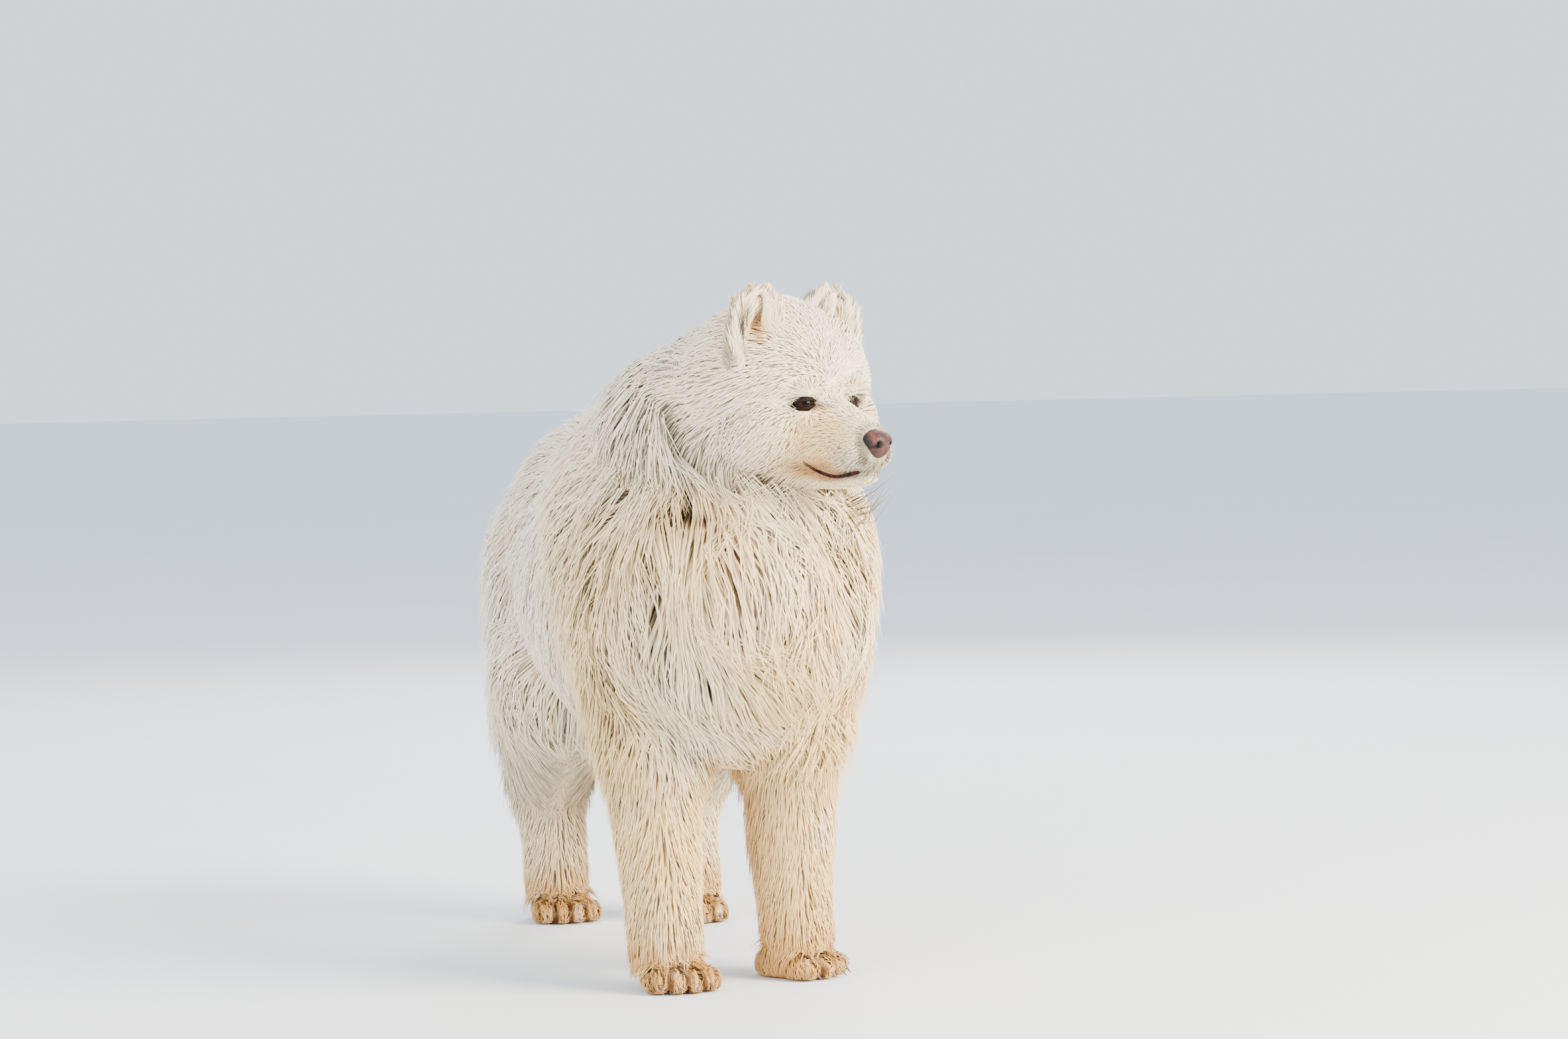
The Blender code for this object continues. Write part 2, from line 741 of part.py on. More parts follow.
def collar_ring(neck, name, spread):
    """A strap round the neck, let into the undercoat by half its thickness."""
    skin = surface_of(neck)
    across = COLLAR_AXIS.cross(Vector((0, 1, 0))).normalized()
    beside = COLLAR_AXIS.cross(across)
    count = 28
    found = []
    for step in range(count):
        angle = math.tau * step / count
        outward = across * math.cos(angle) + beside * math.sin(angle)
        hit = skin.ray_cast(COLLAR_CENTRE, outward)[0]
        found.append((hit - COLLAR_CENTRE).length if hit else None)
    bm = bmesh.new()
    rows = []
    for step in range(count):
        angle = math.tau * step / count
        outward = across * math.cos(angle) + beside * math.sin(angle)
        near = [found[(step + shift) % count] for shift in (-1, 0, 1)]
        radius = sum(near) / 3
        half = COLLAR_WIDTH / 2 + spread
        inner = radius - COLLAR_THICK / 2 - spread
        outer = radius + COLLAR_THICK / 2 + spread
        rows.append([
            bm.verts.new(COLLAR_CENTRE + outward * reach + COLLAR_AXIS * lift)
            for reach, lift in (
                (inner, -half), (outer, -half * 0.9), (outer, half * 0.9), (inner, half)
            )
        ])
    for step in range(count):
        near, far = rows[step], rows[(step + 1) % count]
        for place in range(4):
            after = (place + 1) % 4
            bm.faces.new((near[place], near[after], far[after], far[place]))
    bmesh.ops.recalc_face_normals(bm, faces=bm.faces)
    return object_from(bm, name)


def collar_details(nodes):
    neck = nodes["neck"]
    collar = collar_ring(neck, "collar", 0.0)
    groove = collar_ring(neck, "groove", GAP)
    outward = (BUCKLE_AT - COLLAR_CENTRE)
    outward = (outward - COLLAR_AXIS * outward.dot(COLLAR_AXIS)).normalized()
    hit = surface_of(collar).ray_cast(COLLAR_CENTRE + outward * 0.2, -outward)[0]
    turn = Matrix((outward, COLLAR_AXIS.cross(outward), COLLAR_AXIS)).transposed().to_4x4()
    bm = bmesh.new()
    size = Matrix.Diagonal((BUCKLE[1], BUCKLE[0], BUCKLE[2], 1.0))
    bmesh.ops.create_cube(bm, size=1.0, matrix=Matrix.Translation(hit) @ turn @ size)
    bmesh.ops.bevel(
        bm, geom=list(bm.edges), offset=0.0018, segments=2, profile=0.5, affect="EDGES"
    )
    buckle = object_from(bm, "collar_buckle")
    bed = mesh_grown(buckle, "bed", GAP)
    boolean(neck, groove, "DIFFERENCE", "MANIFOLD")
    boolean(neck, bed, "DIFFERENCE", "MANIFOLD")
    boolean(collar, bed, "DIFFERENCE", "MANIFOLD")
    bpy.data.objects.remove(groove)
    bpy.data.objects.remove(bed)
    nodes["neck"] = largest_only(neck)
    nodes["collar"] = largest_only(collar)
    nodes["collar_buckle"] = buckle


def roots_on(item, skin, others, lie_at, size, dice):
    """Evenly spread places on the outer surface of a node, away from its cuts."""
    item.data.calc_loop_triangles()
    points = item.data.vertices
    corners = [[points[index].co for index in face.vertices] for face in item.data.loop_triangles]
    areas = [((b - a).cross(c - a)).length for a, b, c in corners]
    chosen = []
    tries = int(TRIES_PER_AREA * sum(areas) / (size["across"] * size["along"]))
    for a, b, c in dice.choices(corners, weights=areas, k=tries):
        first, second = dice.random(), dice.random()
        if first + second > 1:
            first, second = 1 - first, 1 - second
        point = a + (b - a) * first + (c - a) * second
        near, normal, _, distance = skin.find_nearest(point)
        if distance > SEAM_DEPTH or near.z < LOWEST_ROOT:
            continue
        if any(other.find_nearest(point, ROOT_CLEARANCE)[0] for other in others):
            continue
        lie, scale = lie_at(point, normal)
        if scale == 0:
            continue
        lie = (lie - normal * lie.dot(normal)).normalized()
        if all(spaced(point - other, way, size, scale) for other, _, way, _ in chosen):
            chosen.append((point, normal, lie, scale))
    return chosen


def spaced(apart, lie, size, scale):
    """Whether two roots stand far enough apart, with more room along the lie."""
    along = apart.dot(lie)
    across = (apart - lie * along).length
    reach = 0.4 + 0.6 * scale
    return math.hypot(along / size["along"], across / size["across"]) > reach


def lock_path(skin, root, normal, lie, size, lift, bend):
    """Points and normals of a lock that leaves the skin and lies back over it."""
    path = [(root - normal * ROOT_DEPTH, normal)]
    point = root
    heading = (lie - normal * lie.dot(normal)).normalized()
    steps = size["steps"]
    for step in range(1, steps + 1):
        heading = (heading + Vector((0, 0, -size["droop"] / steps))).normalized()
        heading = (Matrix.Rotation(bend / steps, 3, normal) @ heading).normalized()
        if heading.dot(normal) < 0:
            heading = (heading - normal * heading.dot(normal)).normalized()
        point = point + heading * (size["length"] / steps)
        near, outward, _, _ = skin.find_nearest(point)
        height = (point - near).dot(outward)
        wanted = lift * (step / steps) ** size["rise"]
        if height < wanted:
            point = near + outward * wanted
        normal = (normal + outward * 1.5).normalized()
        path.append((point, normal))
    return path


def lock_form(path, wide, thick, spare=0.0):
    """A flat tapered lock with a low ridge and a pointed tip."""
    bm = bmesh.new()
    rings = []
    last = len(path) - 1
    for place, (point, normal) in enumerate(path[:-1]):
        after = path[place + 1][0] - point
        share = place / last
        across = after.cross(normal).normalized()
        outward = across.cross(after).normalized()
        half = wide / 2 * (0.80 if place == 0 else 1.04 - 0.70 * share ** 2.4) + spare
        deep = thick / 2 * (1.0 - 0.45 * share) + spare
        rings.append([
            bm.verts.new(point + across * half - outward * deep),
            bm.verts.new(point + outward * deep),
            bm.verts.new(point - across * half - outward * deep),
        ])
    tip = bm.verts.new(path[-1][0])
    for near, far in zip(rings, rings[1:]):
        for corner in range(3):
            after = (corner + 1) % 3
            bm.faces.new((near[corner], near[after], far[after], far[corner]))
    for corner in range(3):
        bm.faces.new((rings[-1][corner], rings[-1][(corner + 1) % 3], tip))
    bm.faces.new(list(reversed(rings[0])))
    bmesh.ops.recalc_face_normals(bm, faces=bm.faces)
    bmesh.ops.triangulate(bm, faces=bm.faces)
    return bm


def clears(path, wide, thick, others):
    if min(point.z for point, _ in path[1:]) < FLOOR_CLEARANCE:
        return False
    trial = lock_form(path, wide, thick, 2 * GAP)
    tree = BVHTree.FromBMesh(trial)
    trial.free()
    return not any(tree.overlap(other) for other in others)


def locks_for(item, skin, others, lie_at, size, dice):
    """All locks of one node, each lifted or shortened until it clears its neighbours."""
    forms = []
    for root, normal, lie, scale in roots_on(item, skin, others, lie_at, size, dice):
        vary = dice.uniform(0.88, 1.14)
        bend = dice.uniform(-0.35, 0.35)
        wide = size["width"] * dice.uniform(0.9, 1.1) * (0.55 + 0.45 * scale)
        for shorter, higher in TRIALS:
            own = dict(size)
            own["length"] = size["length"] * vary * scale * shorter
            lift = (size["lift"] * (0.45 + 0.55 * scale) + higher) * vary
            path = lock_path(skin, root, normal, lie, own, lift, bend)
            if clears(path, wide * (0.6 + 0.4 * shorter), size["thick"], others):
                forms.append(lock_form(path, wide * (0.6 + 0.4 * shorter), size["thick"]))
                break
    return forms


def trunk_lie(root, normal):
    """Back and down along the trunk, and down to the midline on the chest."""
    front = min(max((-0.150 - root.y) / 0.08, 0.0), 1.0)
    rear = min(max((root.y - 0.19) / 0.06, 0.0), 1.0)
    steep = 0.15 + 0.95 * (1 - abs(normal.z)) + 0.6 * rear
    back = Vector((0.0, 0.85, -steep))
    inward = -math.copysign(0.35, root.x) if abs(root.x) > 0.02 else 0.0
    down = Vector((inward, 0.05, -1.0))
    low = min(max((0.46 - root.z) / 0.14, 0.0), 1.0) * front
    return back.lerp(down, front), 1.0 - 0.20 * low


def neck_lie(root, normal):
    """From the head back and down over the shoulders, and down the throat."""
    front = min(max((-0.215 - root.y) / 0.06, 0.0), 1.0)
    back = Vector((math.copysign(0.15, root.x), 0.55, -0.85))
    down = Vector((-math.copysign(0.20, root.x), -0.10, -1.0))
    return back.lerp(down, front), 1.0


def head_lie(root, normal):
    """Back from the face. The face itself keeps short hair, and so has no locks."""
    local = head_matrix().inverted() @ root
    forward, side, up = -local.y, abs(local.x), local.z
    if forward > -0.035 or (up > 0.045 and forward > -0.120):
        return Vector((0, 0, 0)), 0
    if up < -0.050 and forward > -0.050:
        return Vector((0, 0, 0)), 0
    flow = Vector((0.25 * math.copysign(1.0, local.x), 1.0, -0.75 + 6.0 * max(up, 0.0)))
    scale = min(max((-0.020 - forward) / 0.06, 0.45), 1.0)
    return Matrix.Rotation(HEAD_TURN, 3, "Z") @ flow, scale


def leg_lie(root, normal):
    """Down the leg, short in front and swept back behind."""
    behind = max(normal.y, 0.0) + max((root.z - 0.22) / 0.10, 0.0)
    if normal.y < -0.55 and root.z < 0.30:
        return Vector((0, 0, 0)), 0
    low = min(max((root.z - 0.03) / 0.12, 0.0), 1.0)
    scale = min(0.55 + 0.45 * behind, 1.0) * (0.55 + 0.45 * low)
    return Vector((normal.x * 0.05, 0.10 + 0.35 * max(normal.y, 0.0), -1.0)), scale


def tail_lie(root, normal):
    """Along the hanging tail and outwards, so that it forms a plume."""
    flow = Vector((math.copysign(0.25, root.x) * abs(normal.x), 0.35, -1.0))
    return flow, 1.0 - 0.25 * min(max((root.z - 0.40) / 0.12, 0.0), 1.0)


def lay_coat(nodes, skin):
    """Sets the locks on node after node, clear of all that is already there."""
    dice = random.Random(SEED)
    plan = [("torso", trunk_lie, TRUNK_LOCKS), ("neck", neck_lie, RUFF_LOCKS)]
    plan.append(("head", head_lie, CHEEK_LOCKS))
    plan.append(("tail", tail_lie, TAIL_LOCKS))
    for name in FRONT_LEGS:
        plan.append(("leg_front_" + name, leg_lie, LEG_LOCKS))
    for name in HIND_LEGS:
        plan.append(("leg_hind_" + name, leg_lie, LEG_LOCKS))
    for name, lie_at, size in plan:
        others = [surface_of(item) for key, item in nodes.items() if key != name]
        forms = locks_for(nodes[name], skin, others, lie_at, size, dice)
        nodes[name] = fuse(nodes[name], forms)


def centre_on_floor(nodes):
    """Moves all nodes so that the origin is under the middle of their box."""
    points = [vert.co for item in nodes.values() for vert in item.data.vertices]
    low = Vector([min(point[axis] for point in points) for axis in range(3)])
    high = Vector([max(point[axis] for point in points) for axis in range(3)])
    shift = Vector((-(low.x + high.x) / 2, -(low.y + high.y) / 2, -low.z))
    for item in nodes.values():
        item.data.transform(Matrix.Translation(shift))


def main():
    clear_scene()
    nodes, skin = part_body()
    face_details(nodes)
    collar_details(nodes)
    lay_coat(nodes, skin)
    centre_on_floor(nodes)
    for name, item in nodes.items():
        item.name = name
        item.data.materials.clear()
        item.data.materials.append(finish_named(name, NODE_FINISHES.get(name, "coat")))
        item.data.shade_smooth()


main()
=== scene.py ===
"""The looks of a standing samoyed: one skin, a long coat of fine tufts, ears, eyes,
lids, nose, lips, claws and the collar, on the fixed frame of its solids."""

import json
import math

import bmesh
import bpy
import numpy as np
from mathutils import Matrix, Vector, kdtree
from mathutils.bvhtree import BVHTree

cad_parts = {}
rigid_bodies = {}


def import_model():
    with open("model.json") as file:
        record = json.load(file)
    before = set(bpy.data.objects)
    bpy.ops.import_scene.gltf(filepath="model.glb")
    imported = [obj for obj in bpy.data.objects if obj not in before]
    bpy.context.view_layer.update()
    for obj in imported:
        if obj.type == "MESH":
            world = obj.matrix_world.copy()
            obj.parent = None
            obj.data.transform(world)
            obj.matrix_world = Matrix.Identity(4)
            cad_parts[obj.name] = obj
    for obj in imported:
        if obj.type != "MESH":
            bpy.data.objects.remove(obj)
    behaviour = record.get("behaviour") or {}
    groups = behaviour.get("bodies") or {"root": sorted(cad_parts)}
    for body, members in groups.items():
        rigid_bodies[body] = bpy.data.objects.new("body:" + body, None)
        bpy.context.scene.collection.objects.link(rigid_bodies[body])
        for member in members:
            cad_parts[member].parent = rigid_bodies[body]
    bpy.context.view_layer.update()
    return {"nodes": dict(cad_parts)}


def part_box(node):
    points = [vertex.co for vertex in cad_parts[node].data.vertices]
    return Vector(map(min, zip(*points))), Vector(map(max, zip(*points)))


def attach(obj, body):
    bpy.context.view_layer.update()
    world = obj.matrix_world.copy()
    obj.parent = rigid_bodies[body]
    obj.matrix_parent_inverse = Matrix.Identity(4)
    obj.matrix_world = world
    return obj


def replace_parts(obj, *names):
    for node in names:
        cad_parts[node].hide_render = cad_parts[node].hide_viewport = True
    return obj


for item in list(bpy.data.objects):
    bpy.data.objects.remove(item)
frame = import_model()

SEED = 11

# Sizes in metres, in the dog's own axes: it faces -Y, its left is +X, and its
# paws stand round the origin
SKIN_VOXEL = 0.0036
SKIN_FLOOR = 0.0004
END_BULGE = 0.014

# Trunk: y, half width, top, bottom
TRUNK = (
    (-0.296, 0.030, 0.440, 0.370),
    (-0.276, 0.074, 0.485, 0.315),
    (-0.235, 0.102, 0.530, 0.280),
    (-0.165, 0.113, 0.578, 0.266),
    (-0.080, 0.116, 0.566, 0.262),
    (0.020, 0.114, 0.548, 0.275),
    (0.110, 0.106, 0.548, 0.300),
    (0.180, 0.106, 0.550, 0.312),
    (0.235, 0.092, 0.532, 0.325),
    (0.268, 0.058, 0.490, 0.360),
)
# Neck: centre, half width, half depth
NECK = (
    ((0.002, -0.125, 0.445), 0.090, 0.096),
    ((0.008, -0.174, 0.508), 0.089, 0.096),
    ((0.017, -0.208, 0.562), 0.079, 0.086),
    ((0.029, -0.240, 0.606), 0.068, 0.072),
    ((0.042, -0.266, 0.644), 0.046, 0.050),
)
# Tail: centre, half width
TAIL = (
    ((0.000, 0.240, 0.500), 0.024),
    ((0.000, 0.285, 0.498), 0.022),
    ((0.002, 0.340, 0.465), 0.020),
    ((0.006, 0.380, 0.390), 0.017),
    ((0.009, 0.398, 0.300), 0.014),
    ((0.010, 0.415, 0.225), 0.010),
)
# Front legs: side, x and y of the heel, turn outwards, y of the wrist
FRONT_LEGS = (
    (-1, 0.0640, -0.234, math.radians(-2), -0.226),
    (1, 0.0760, -0.200, math.radians(40), -0.196),
)
# Hind legs: side, y of the toes, y of the hock
HIND_LEGS = ((-1, 0.2655, 0.338), (1, 0.2020, 0.278))
FRONT_X = 0.0740
HIND_X = 0.0720
ELBOW_Y = -0.190
PAW_SIZE = (0.035, 0.042, 0.023)
TOE_RADIUS = 0.0115
TOE_REACH = 0.0320
TOE_SPREAD = 0.0270

# Head in its own axes: left, forward, up from the point between the eyes
EYES_MIDDLE = Vector((0.0878, -0.345, 0.597))
HEAD_TURN = math.radians(30)
# Skull: middle and half sizes, then what stands on both sides
SKULL = (
    ((0.000, -0.084, 0.024), (0.080, 0.071, 0.075)),
    ((0.000, -0.051, 0.022), (0.067, 0.047, 0.056)),
    ((0.000, -0.112, -0.016), (0.073, 0.061, 0.067)),
)
SKULL_PAIRS = (
    ((0.043, -0.056, -0.023), (0.032, 0.043, 0.036)),
    ((0.027, -0.016, 0.013), (0.019, 0.014, 0.009)),
    ((0.031, -0.016, -0.013), (0.017, 0.014, 0.009)),
    ((0.021, 0.026, -0.051), (0.011, 0.026, 0.017)),
)
# Muzzle and jaw: forward, up, half width, half height
MUZZLE = (
    (-0.060, -0.024, 0.046, 0.040),
    (-0.025, -0.027, 0.040, 0.038),
    (0.000, -0.031, 0.032, 0.034),
    (0.026, -0.038, 0.0265, 0.029),
    (0.046, -0.042, 0.0225, 0.0245),
    (0.057, -0.046, 0.0165, 0.0170),
)
JAW = (
    (-0.080, -0.052, 0.042, 0.024),
    (-0.040, -0.061, 0.034, 0.018),
    (0.000, -0.069, 0.025, 0.0135),
    (0.030, -0.072, 0.018, 0.0105),
    (0.048, -0.070, 0.011, 0.0080),
)
MOUTH_LINE = (
    (0.0390, -0.010, -0.058),
    (0.0345, 0.006, -0.067),
    (0.0300, 0.024, -0.0725),
    (0.0220, 0.036, -0.0712),
    (0.0110, 0.0435, -0.0680),
    (0.0000, 0.0460, -0.0662),
)
EYE_CENTRE = (0.0310, -0.0170, 0.0)
EYE_RADIUS = 0.0125
EYE_OUTWARD = math.radians(30)
EYE_TILT = math.radians(7)
EYE_HALF_OPEN = (0.0122, 0.0034)
NOSE_CENTRE = (0.0, 0.0555, -0.0405)
NOSE_SIZE = (0.0176, 0.0130, 0.0146)
EAR_ROOT = (0.0500, -0.076, 0.040)
EAR_TIP = (0.0530, -0.056, 0.112)
EAR_HALF_WIDTH = 0.0225
EAR_FACING = {-1: -0.12, 1: -0.20}
EAR_CUP = 0.020
EAR_WALL = 0.0055

# Planes where head and neck begin: a point and the way outwards
HEAD_PLANE = ((0.030, -0.262, 0.585), (0.42, -0.62, 0.62))
NECK_PLANE = ((0.000, -0.190, 0.495), (0.05, -0.52, 0.85))

# Hair: its length, and the height of its tips over the skin
TRUNK_HAIR = (0.080, 0.056)
NECK_HAIR = (0.098, 0.064)
LEG_HAIR = (0.026, 0.0140)
PAW_HAIR = (0.0175, 0.0062)
TAIL_HAIR = (0.115, 0.046)
FACE_HAIR = (0.0075, 0.0026)
NAPE_HAIR = (0.072, 0.038)
# Hair from this length on bends once more
LONG_HAIR = 0.084
# Half thickness of a tuft against its half width
TUFT_THICKNESS = 0.35
ROOT_DEPTH = 0.0012
LOWEST_TIP = 0.0025
SOLE_HEIGHT = 0.004
TRIANGLES_A_PIECE = 180000
# A tuft's patch on the bake map, and the faces of the skin's unwrap
PATCH_SIZE = 0.0028
CHART_FACES = 7000

COLLAR_CENTRE = Vector((0.010, -0.206, 0.530))
COLLAR_AXIS = Vector((0.17, -0.38, 0.91)).normalized()
COLLAR_HEIGHT = 0.024
COLLAR_WALL = 0.0030
PARTING = np.array((-0.047, -0.275, 0.503))
PARTING_WAY = np.array((-0.24, -0.97, 0.03))
PARTING_WAY /= np.linalg.norm(PARTING_WAY)

# Where the solids stand, against the dog's own axes
eye_low, eye_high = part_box("eye_right")
TURN = Matrix.Rotation(HEAD_TURN, 3, "Z")
SHIFT = (eye_low + eye_high) / 2 - EYES_MIDDLE - TURN @ Vector((-EYE_CENTRE[0], -EYE_CENTRE[1], 0))
SHIFT.z = 0.0


def in_head(left, forward, up):
    """A point in the head's axes as a point of the dog."""
    return EYES_MIDDLE + TURN @ Vector((left, -forward, up))


def on_side(side, point):
    """A point of the head, on its left for side 1 and on its right for side -1."""
    return in_head(side * point[0], *point[1:])


def way_in_head(left, forward, up):
    return (TURN @ Vector((left, -forward, up))).normalized()


# Forms


def rounded(bm, centre, size, turn=None, detail=3):
    """An ellipsoid."""
    matrix = Matrix.Translation(centre) @ (turn or Matrix.Identity(4))
    matrix = matrix @ Matrix.Diagonal((*size, 1.0))
    bmesh.ops.create_icosphere(bm, subdivisions=detail, radius=1.0, matrix=matrix)


def turned(across, beside, along):
    """The turn that takes X, Y and Z to three directions."""
    return Matrix((across, beside, along)).transposed().to_4x4()


def sleeve(bm, stations, sides=24):
    """A closed tube through rings: centre, across, beside, half width, half height."""
    before = None
    for place, (centre, across, beside, wide, high) in enumerate(stations):
        turn = turned(across, beside, across.cross(beside))
        matrix = Matrix.Translation(centre) @ turn @ Matrix.Diagonal((wide, high, 1.0, 1.0))
        ends = place in (0, len(stations) - 1)
        ring = bmesh.ops.create_circle(
            bm, cap_ends=ends, segments=sides, radius=1.0, matrix=matrix
        )["verts"]
        edges = list({edge for vert in ring for edge in vert.link_edges})
        if before:
            bmesh.ops.bridge_loops(bm, edges=before + edges)
        before = edges
    bmesh.ops.recalc_face_normals(bm, faces=bm.faces)


def along_path(path):
    """Stations of a tube along points with half width and half depth."""
    stations = []
    points = [Vector(row[0]) for row in path]
    for place, row in enumerate(path):
        along = points[min(place + 1, len(path) - 1)] - points[max(place - 1, 0)]
        along.normalize()
        across = (Vector((1, 0, 0)) - along * along.x).normalized()
        stations.append((points[place], across, along.cross(across), row[1], row[-1]))
    return stations


def joined(parts):
    """One mesh of several forms, each made by its own function in its own bmesh."""
    whole = bmesh.new()
    for make in parts:
        bm = bmesh.new()
        make(bm)
        mesh = bpy.data.meshes.new("form")
        bm.to_mesh(mesh)
        bm.free()
        whole.from_mesh(mesh)
        bpy.data.meshes.remove(mesh)
    return whole


def object_from(bm, name):
    mesh = bpy.data.meshes.new(name)
    bm.to_mesh(mesh)
    bm.free()
    item = bpy.data.objects.new(name, mesh)
    bpy.context.scene.collection.objects.link(item)
    return item


def piece_from(bm, name, material, smooth=True):
    """A finished piece at the origin, moved to where the solids stand."""
    bmesh.ops.translate(bm, verts=bm.verts, vec=SHIFT)
    item = object_from(bm, name)
    item.data.polygons.foreach_set("use_smooth", [smooth] * len(item.data.polygons))
    item.data.materials.append(material)
    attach(item, "root")
    return item


def rounded_off(item):
    edge = item.modifiers.new("soft edge", "SUBSURF")
    edge.levels = 1
    edge.render_levels = 1


def trunk_stations():
    across, up = Vector((1, 0, 0)), Vector((0, 0, 1))
    rings = [(*TRUNK[0], -1.0, 0.30), (*TRUNK[0], -0.7, 0.75)]
    rings.extend((*row, 0.0, 1.0) for row in TRUNK)
    rings.extend([(*TRUNK[-1], 0.7, 0.75), (*TRUNK[-1], 1.0, 0.30)])
    return [
        (
            Vector((0, y + beyond * END_BULGE, (top + bottom) / 2)),
            across, up, wide * share, (top - bottom) / 2 * share,
        )
        for y, wide, top, bottom, beyond, share in rings
    ]


def front_leg(side, wrist_y):
    x = side * FRONT_X
    half = (ELBOW_Y + wrist_y) / 2
    return (
        ((side * 0.068, -0.190, 0.440), 0.034, 0.075),
        ((side * 0.074, -0.196, 0.360), 0.027, 0.056),
        ((side * 0.076, ELBOW_Y, 0.285), 0.026, 0.037),
        ((x, half, 0.190), 0.025, 0.029),
        ((x, wrist_y, 0.100), 0.024, 0.027),
        ((x, wrist_y - 0.008, 0.045), 0.024, 0.026),
        ((x, wrist_y - 0.010, 0.020), 0.021, 0.022),
    )


def hind_leg(side, toe_y, hock_y):
    lean = (hock_y - 0.338) * 0.5
    return (
        ((side * 0.058, 0.190, 0.460), 0.052, 0.080),
        ((side * 0.074, 0.172 + lean * 0.4, 0.380), 0.050, 0.078),
        ((side * 0.082, 0.168 + lean, 0.300), 0.038, 0.056),
        ((side * 0.079, (0.185 + lean + hock_y) / 2, 0.225), 0.028, 0.038),
        ((side * 0.075, hock_y, 0.150), 0.023, 0.029),
        ((side * HIND_X, hock_y - 0.012, 0.085), 0.022, 0.024),
        ((side * HIND_X, toe_y + 0.054, 0.038), 0.022, 0.026),
        ((side * HIND_X, toe_y + 0.048, 0.020), 0.020, 0.022),
    )


def paws():
    """Side, x and y of the heel, and the turn outwards of each paw."""
    for side, x, y, turn, _ in FRONT_LEGS:
        yield side, x, y, turn
    for side, toe_y, _ in HIND_LEGS:
        yield side, HIND_X - 0.004, toe_y + PAW_SIZE[1], 0.0


def paw_axes(side, x, y, turn):
    return Matrix.Translation((side * x, y, 0.0)) @ Matrix.Rotation(side * turn, 4, "Z")


def toe_at(share):
    """How far in front of the heel a toe stands, for its share of the foot's width."""
    return Vector((TOE_SPREAD * share, -(TOE_REACH - 0.010 * abs(share)), 0.0110))


def foot(bm, side, x, y, turn):
    spin = paw_axes(side, x, y, turn)
    still = spin.to_3x3().to_4x4()
    rounded(bm, spin @ Vector((0, 0.008, 0.012)), [size * 0.88 for size in PAW_SIZE], still)
    for toe in range(4):
        middle = toe_at((toe - 1.5) / 1.5)
        rounded(
            bm, spin @ middle, (TOE_RADIUS * 0.78, TOE_RADIUS * 1.55, TOE_RADIUS), still
        )


def head_rows(rows):
    across = way_in_head(1, 0, 0)
    up = Vector((0, 0, 1))
    return [(in_head(0, f, height), across, up, wide, high) for f, height, wide, high in rows]


def skull(bm):
    turn = TURN.to_4x4()
    for centre, size in SKULL:
        rounded(bm, in_head(*centre), size, turn)
    for centre, size in SKULL_PAIRS:
        for side in (-1, 1):
            rounded(bm, on_side(side, centre), size, turn)


def eye_axes(side):
    """Middle of an eye, and its outward, sideways and upward directions."""
    outward = way_in_head(side * math.sin(EYE_OUTWARD), math.cos(EYE_OUTWARD), 0)
    flat = Vector((0, 0, 1)).cross(outward).normalized()
    tilt = Matrix.Rotation(-side * EYE_TILT, 3, outward)
    return on_side(side, EYE_CENTRE), outward, tilt @ flat, tilt @ Vector((0, 0, 1))


def skin_form():
    """The whole skin under the coat, as one closed surface."""
    parts = [
        lambda bm: sleeve(bm, trunk_stations(), 36),
        lambda bm: sleeve(bm, along_path(NECK), 32),
        lambda bm: sleeve(bm, along_path(TAIL), 16),
        lambda bm: sleeve(bm, head_rows(MUZZLE), 28),
        lambda bm: sleeve(bm, head_rows(JAW), 24),
        skull,
    ]
    for side, x, y, turn, wrist_y in FRONT_LEGS:
        parts.append(lambda bm, s=side, w=wrist_y: sleeve(bm, along_path(front_leg(s, w))))
    for side, toe_y, hock_y in HIND_LEGS:
        parts.append(
            lambda bm, s=side, t=toe_y, h=hock_y: sleeve(bm, along_path(hind_leg(s, t, h)))
        )
    for row in paws():
        parts.append(lambda bm, r=row: foot(bm, *r))
    item = object_from(joined(parts), "skin form")
    remesh = item.modifiers.new("one skin", "REMESH")
    remesh.mode = "VOXEL"
    remesh.voxel_size = SKIN_VOXEL
    flow = item.modifiers.new("flow", "SMOOTH")
    flow.factor = 0.5
    flow.iterations = 5
    graph = bpy.context.evaluated_depsgraph_get()
    done = bpy.data.meshes.new_from_object(item.evaluated_get(graph))
    bpy.data.objects.remove(item)
    bm = bmesh.new()
    bm.from_mesh(done)
    bpy.data.meshes.remove(done)
    open_face(bm)
    for vert in bm.verts:
        vert.co.z = max(vert.co.z, SKIN_FLOOR)
    return bm


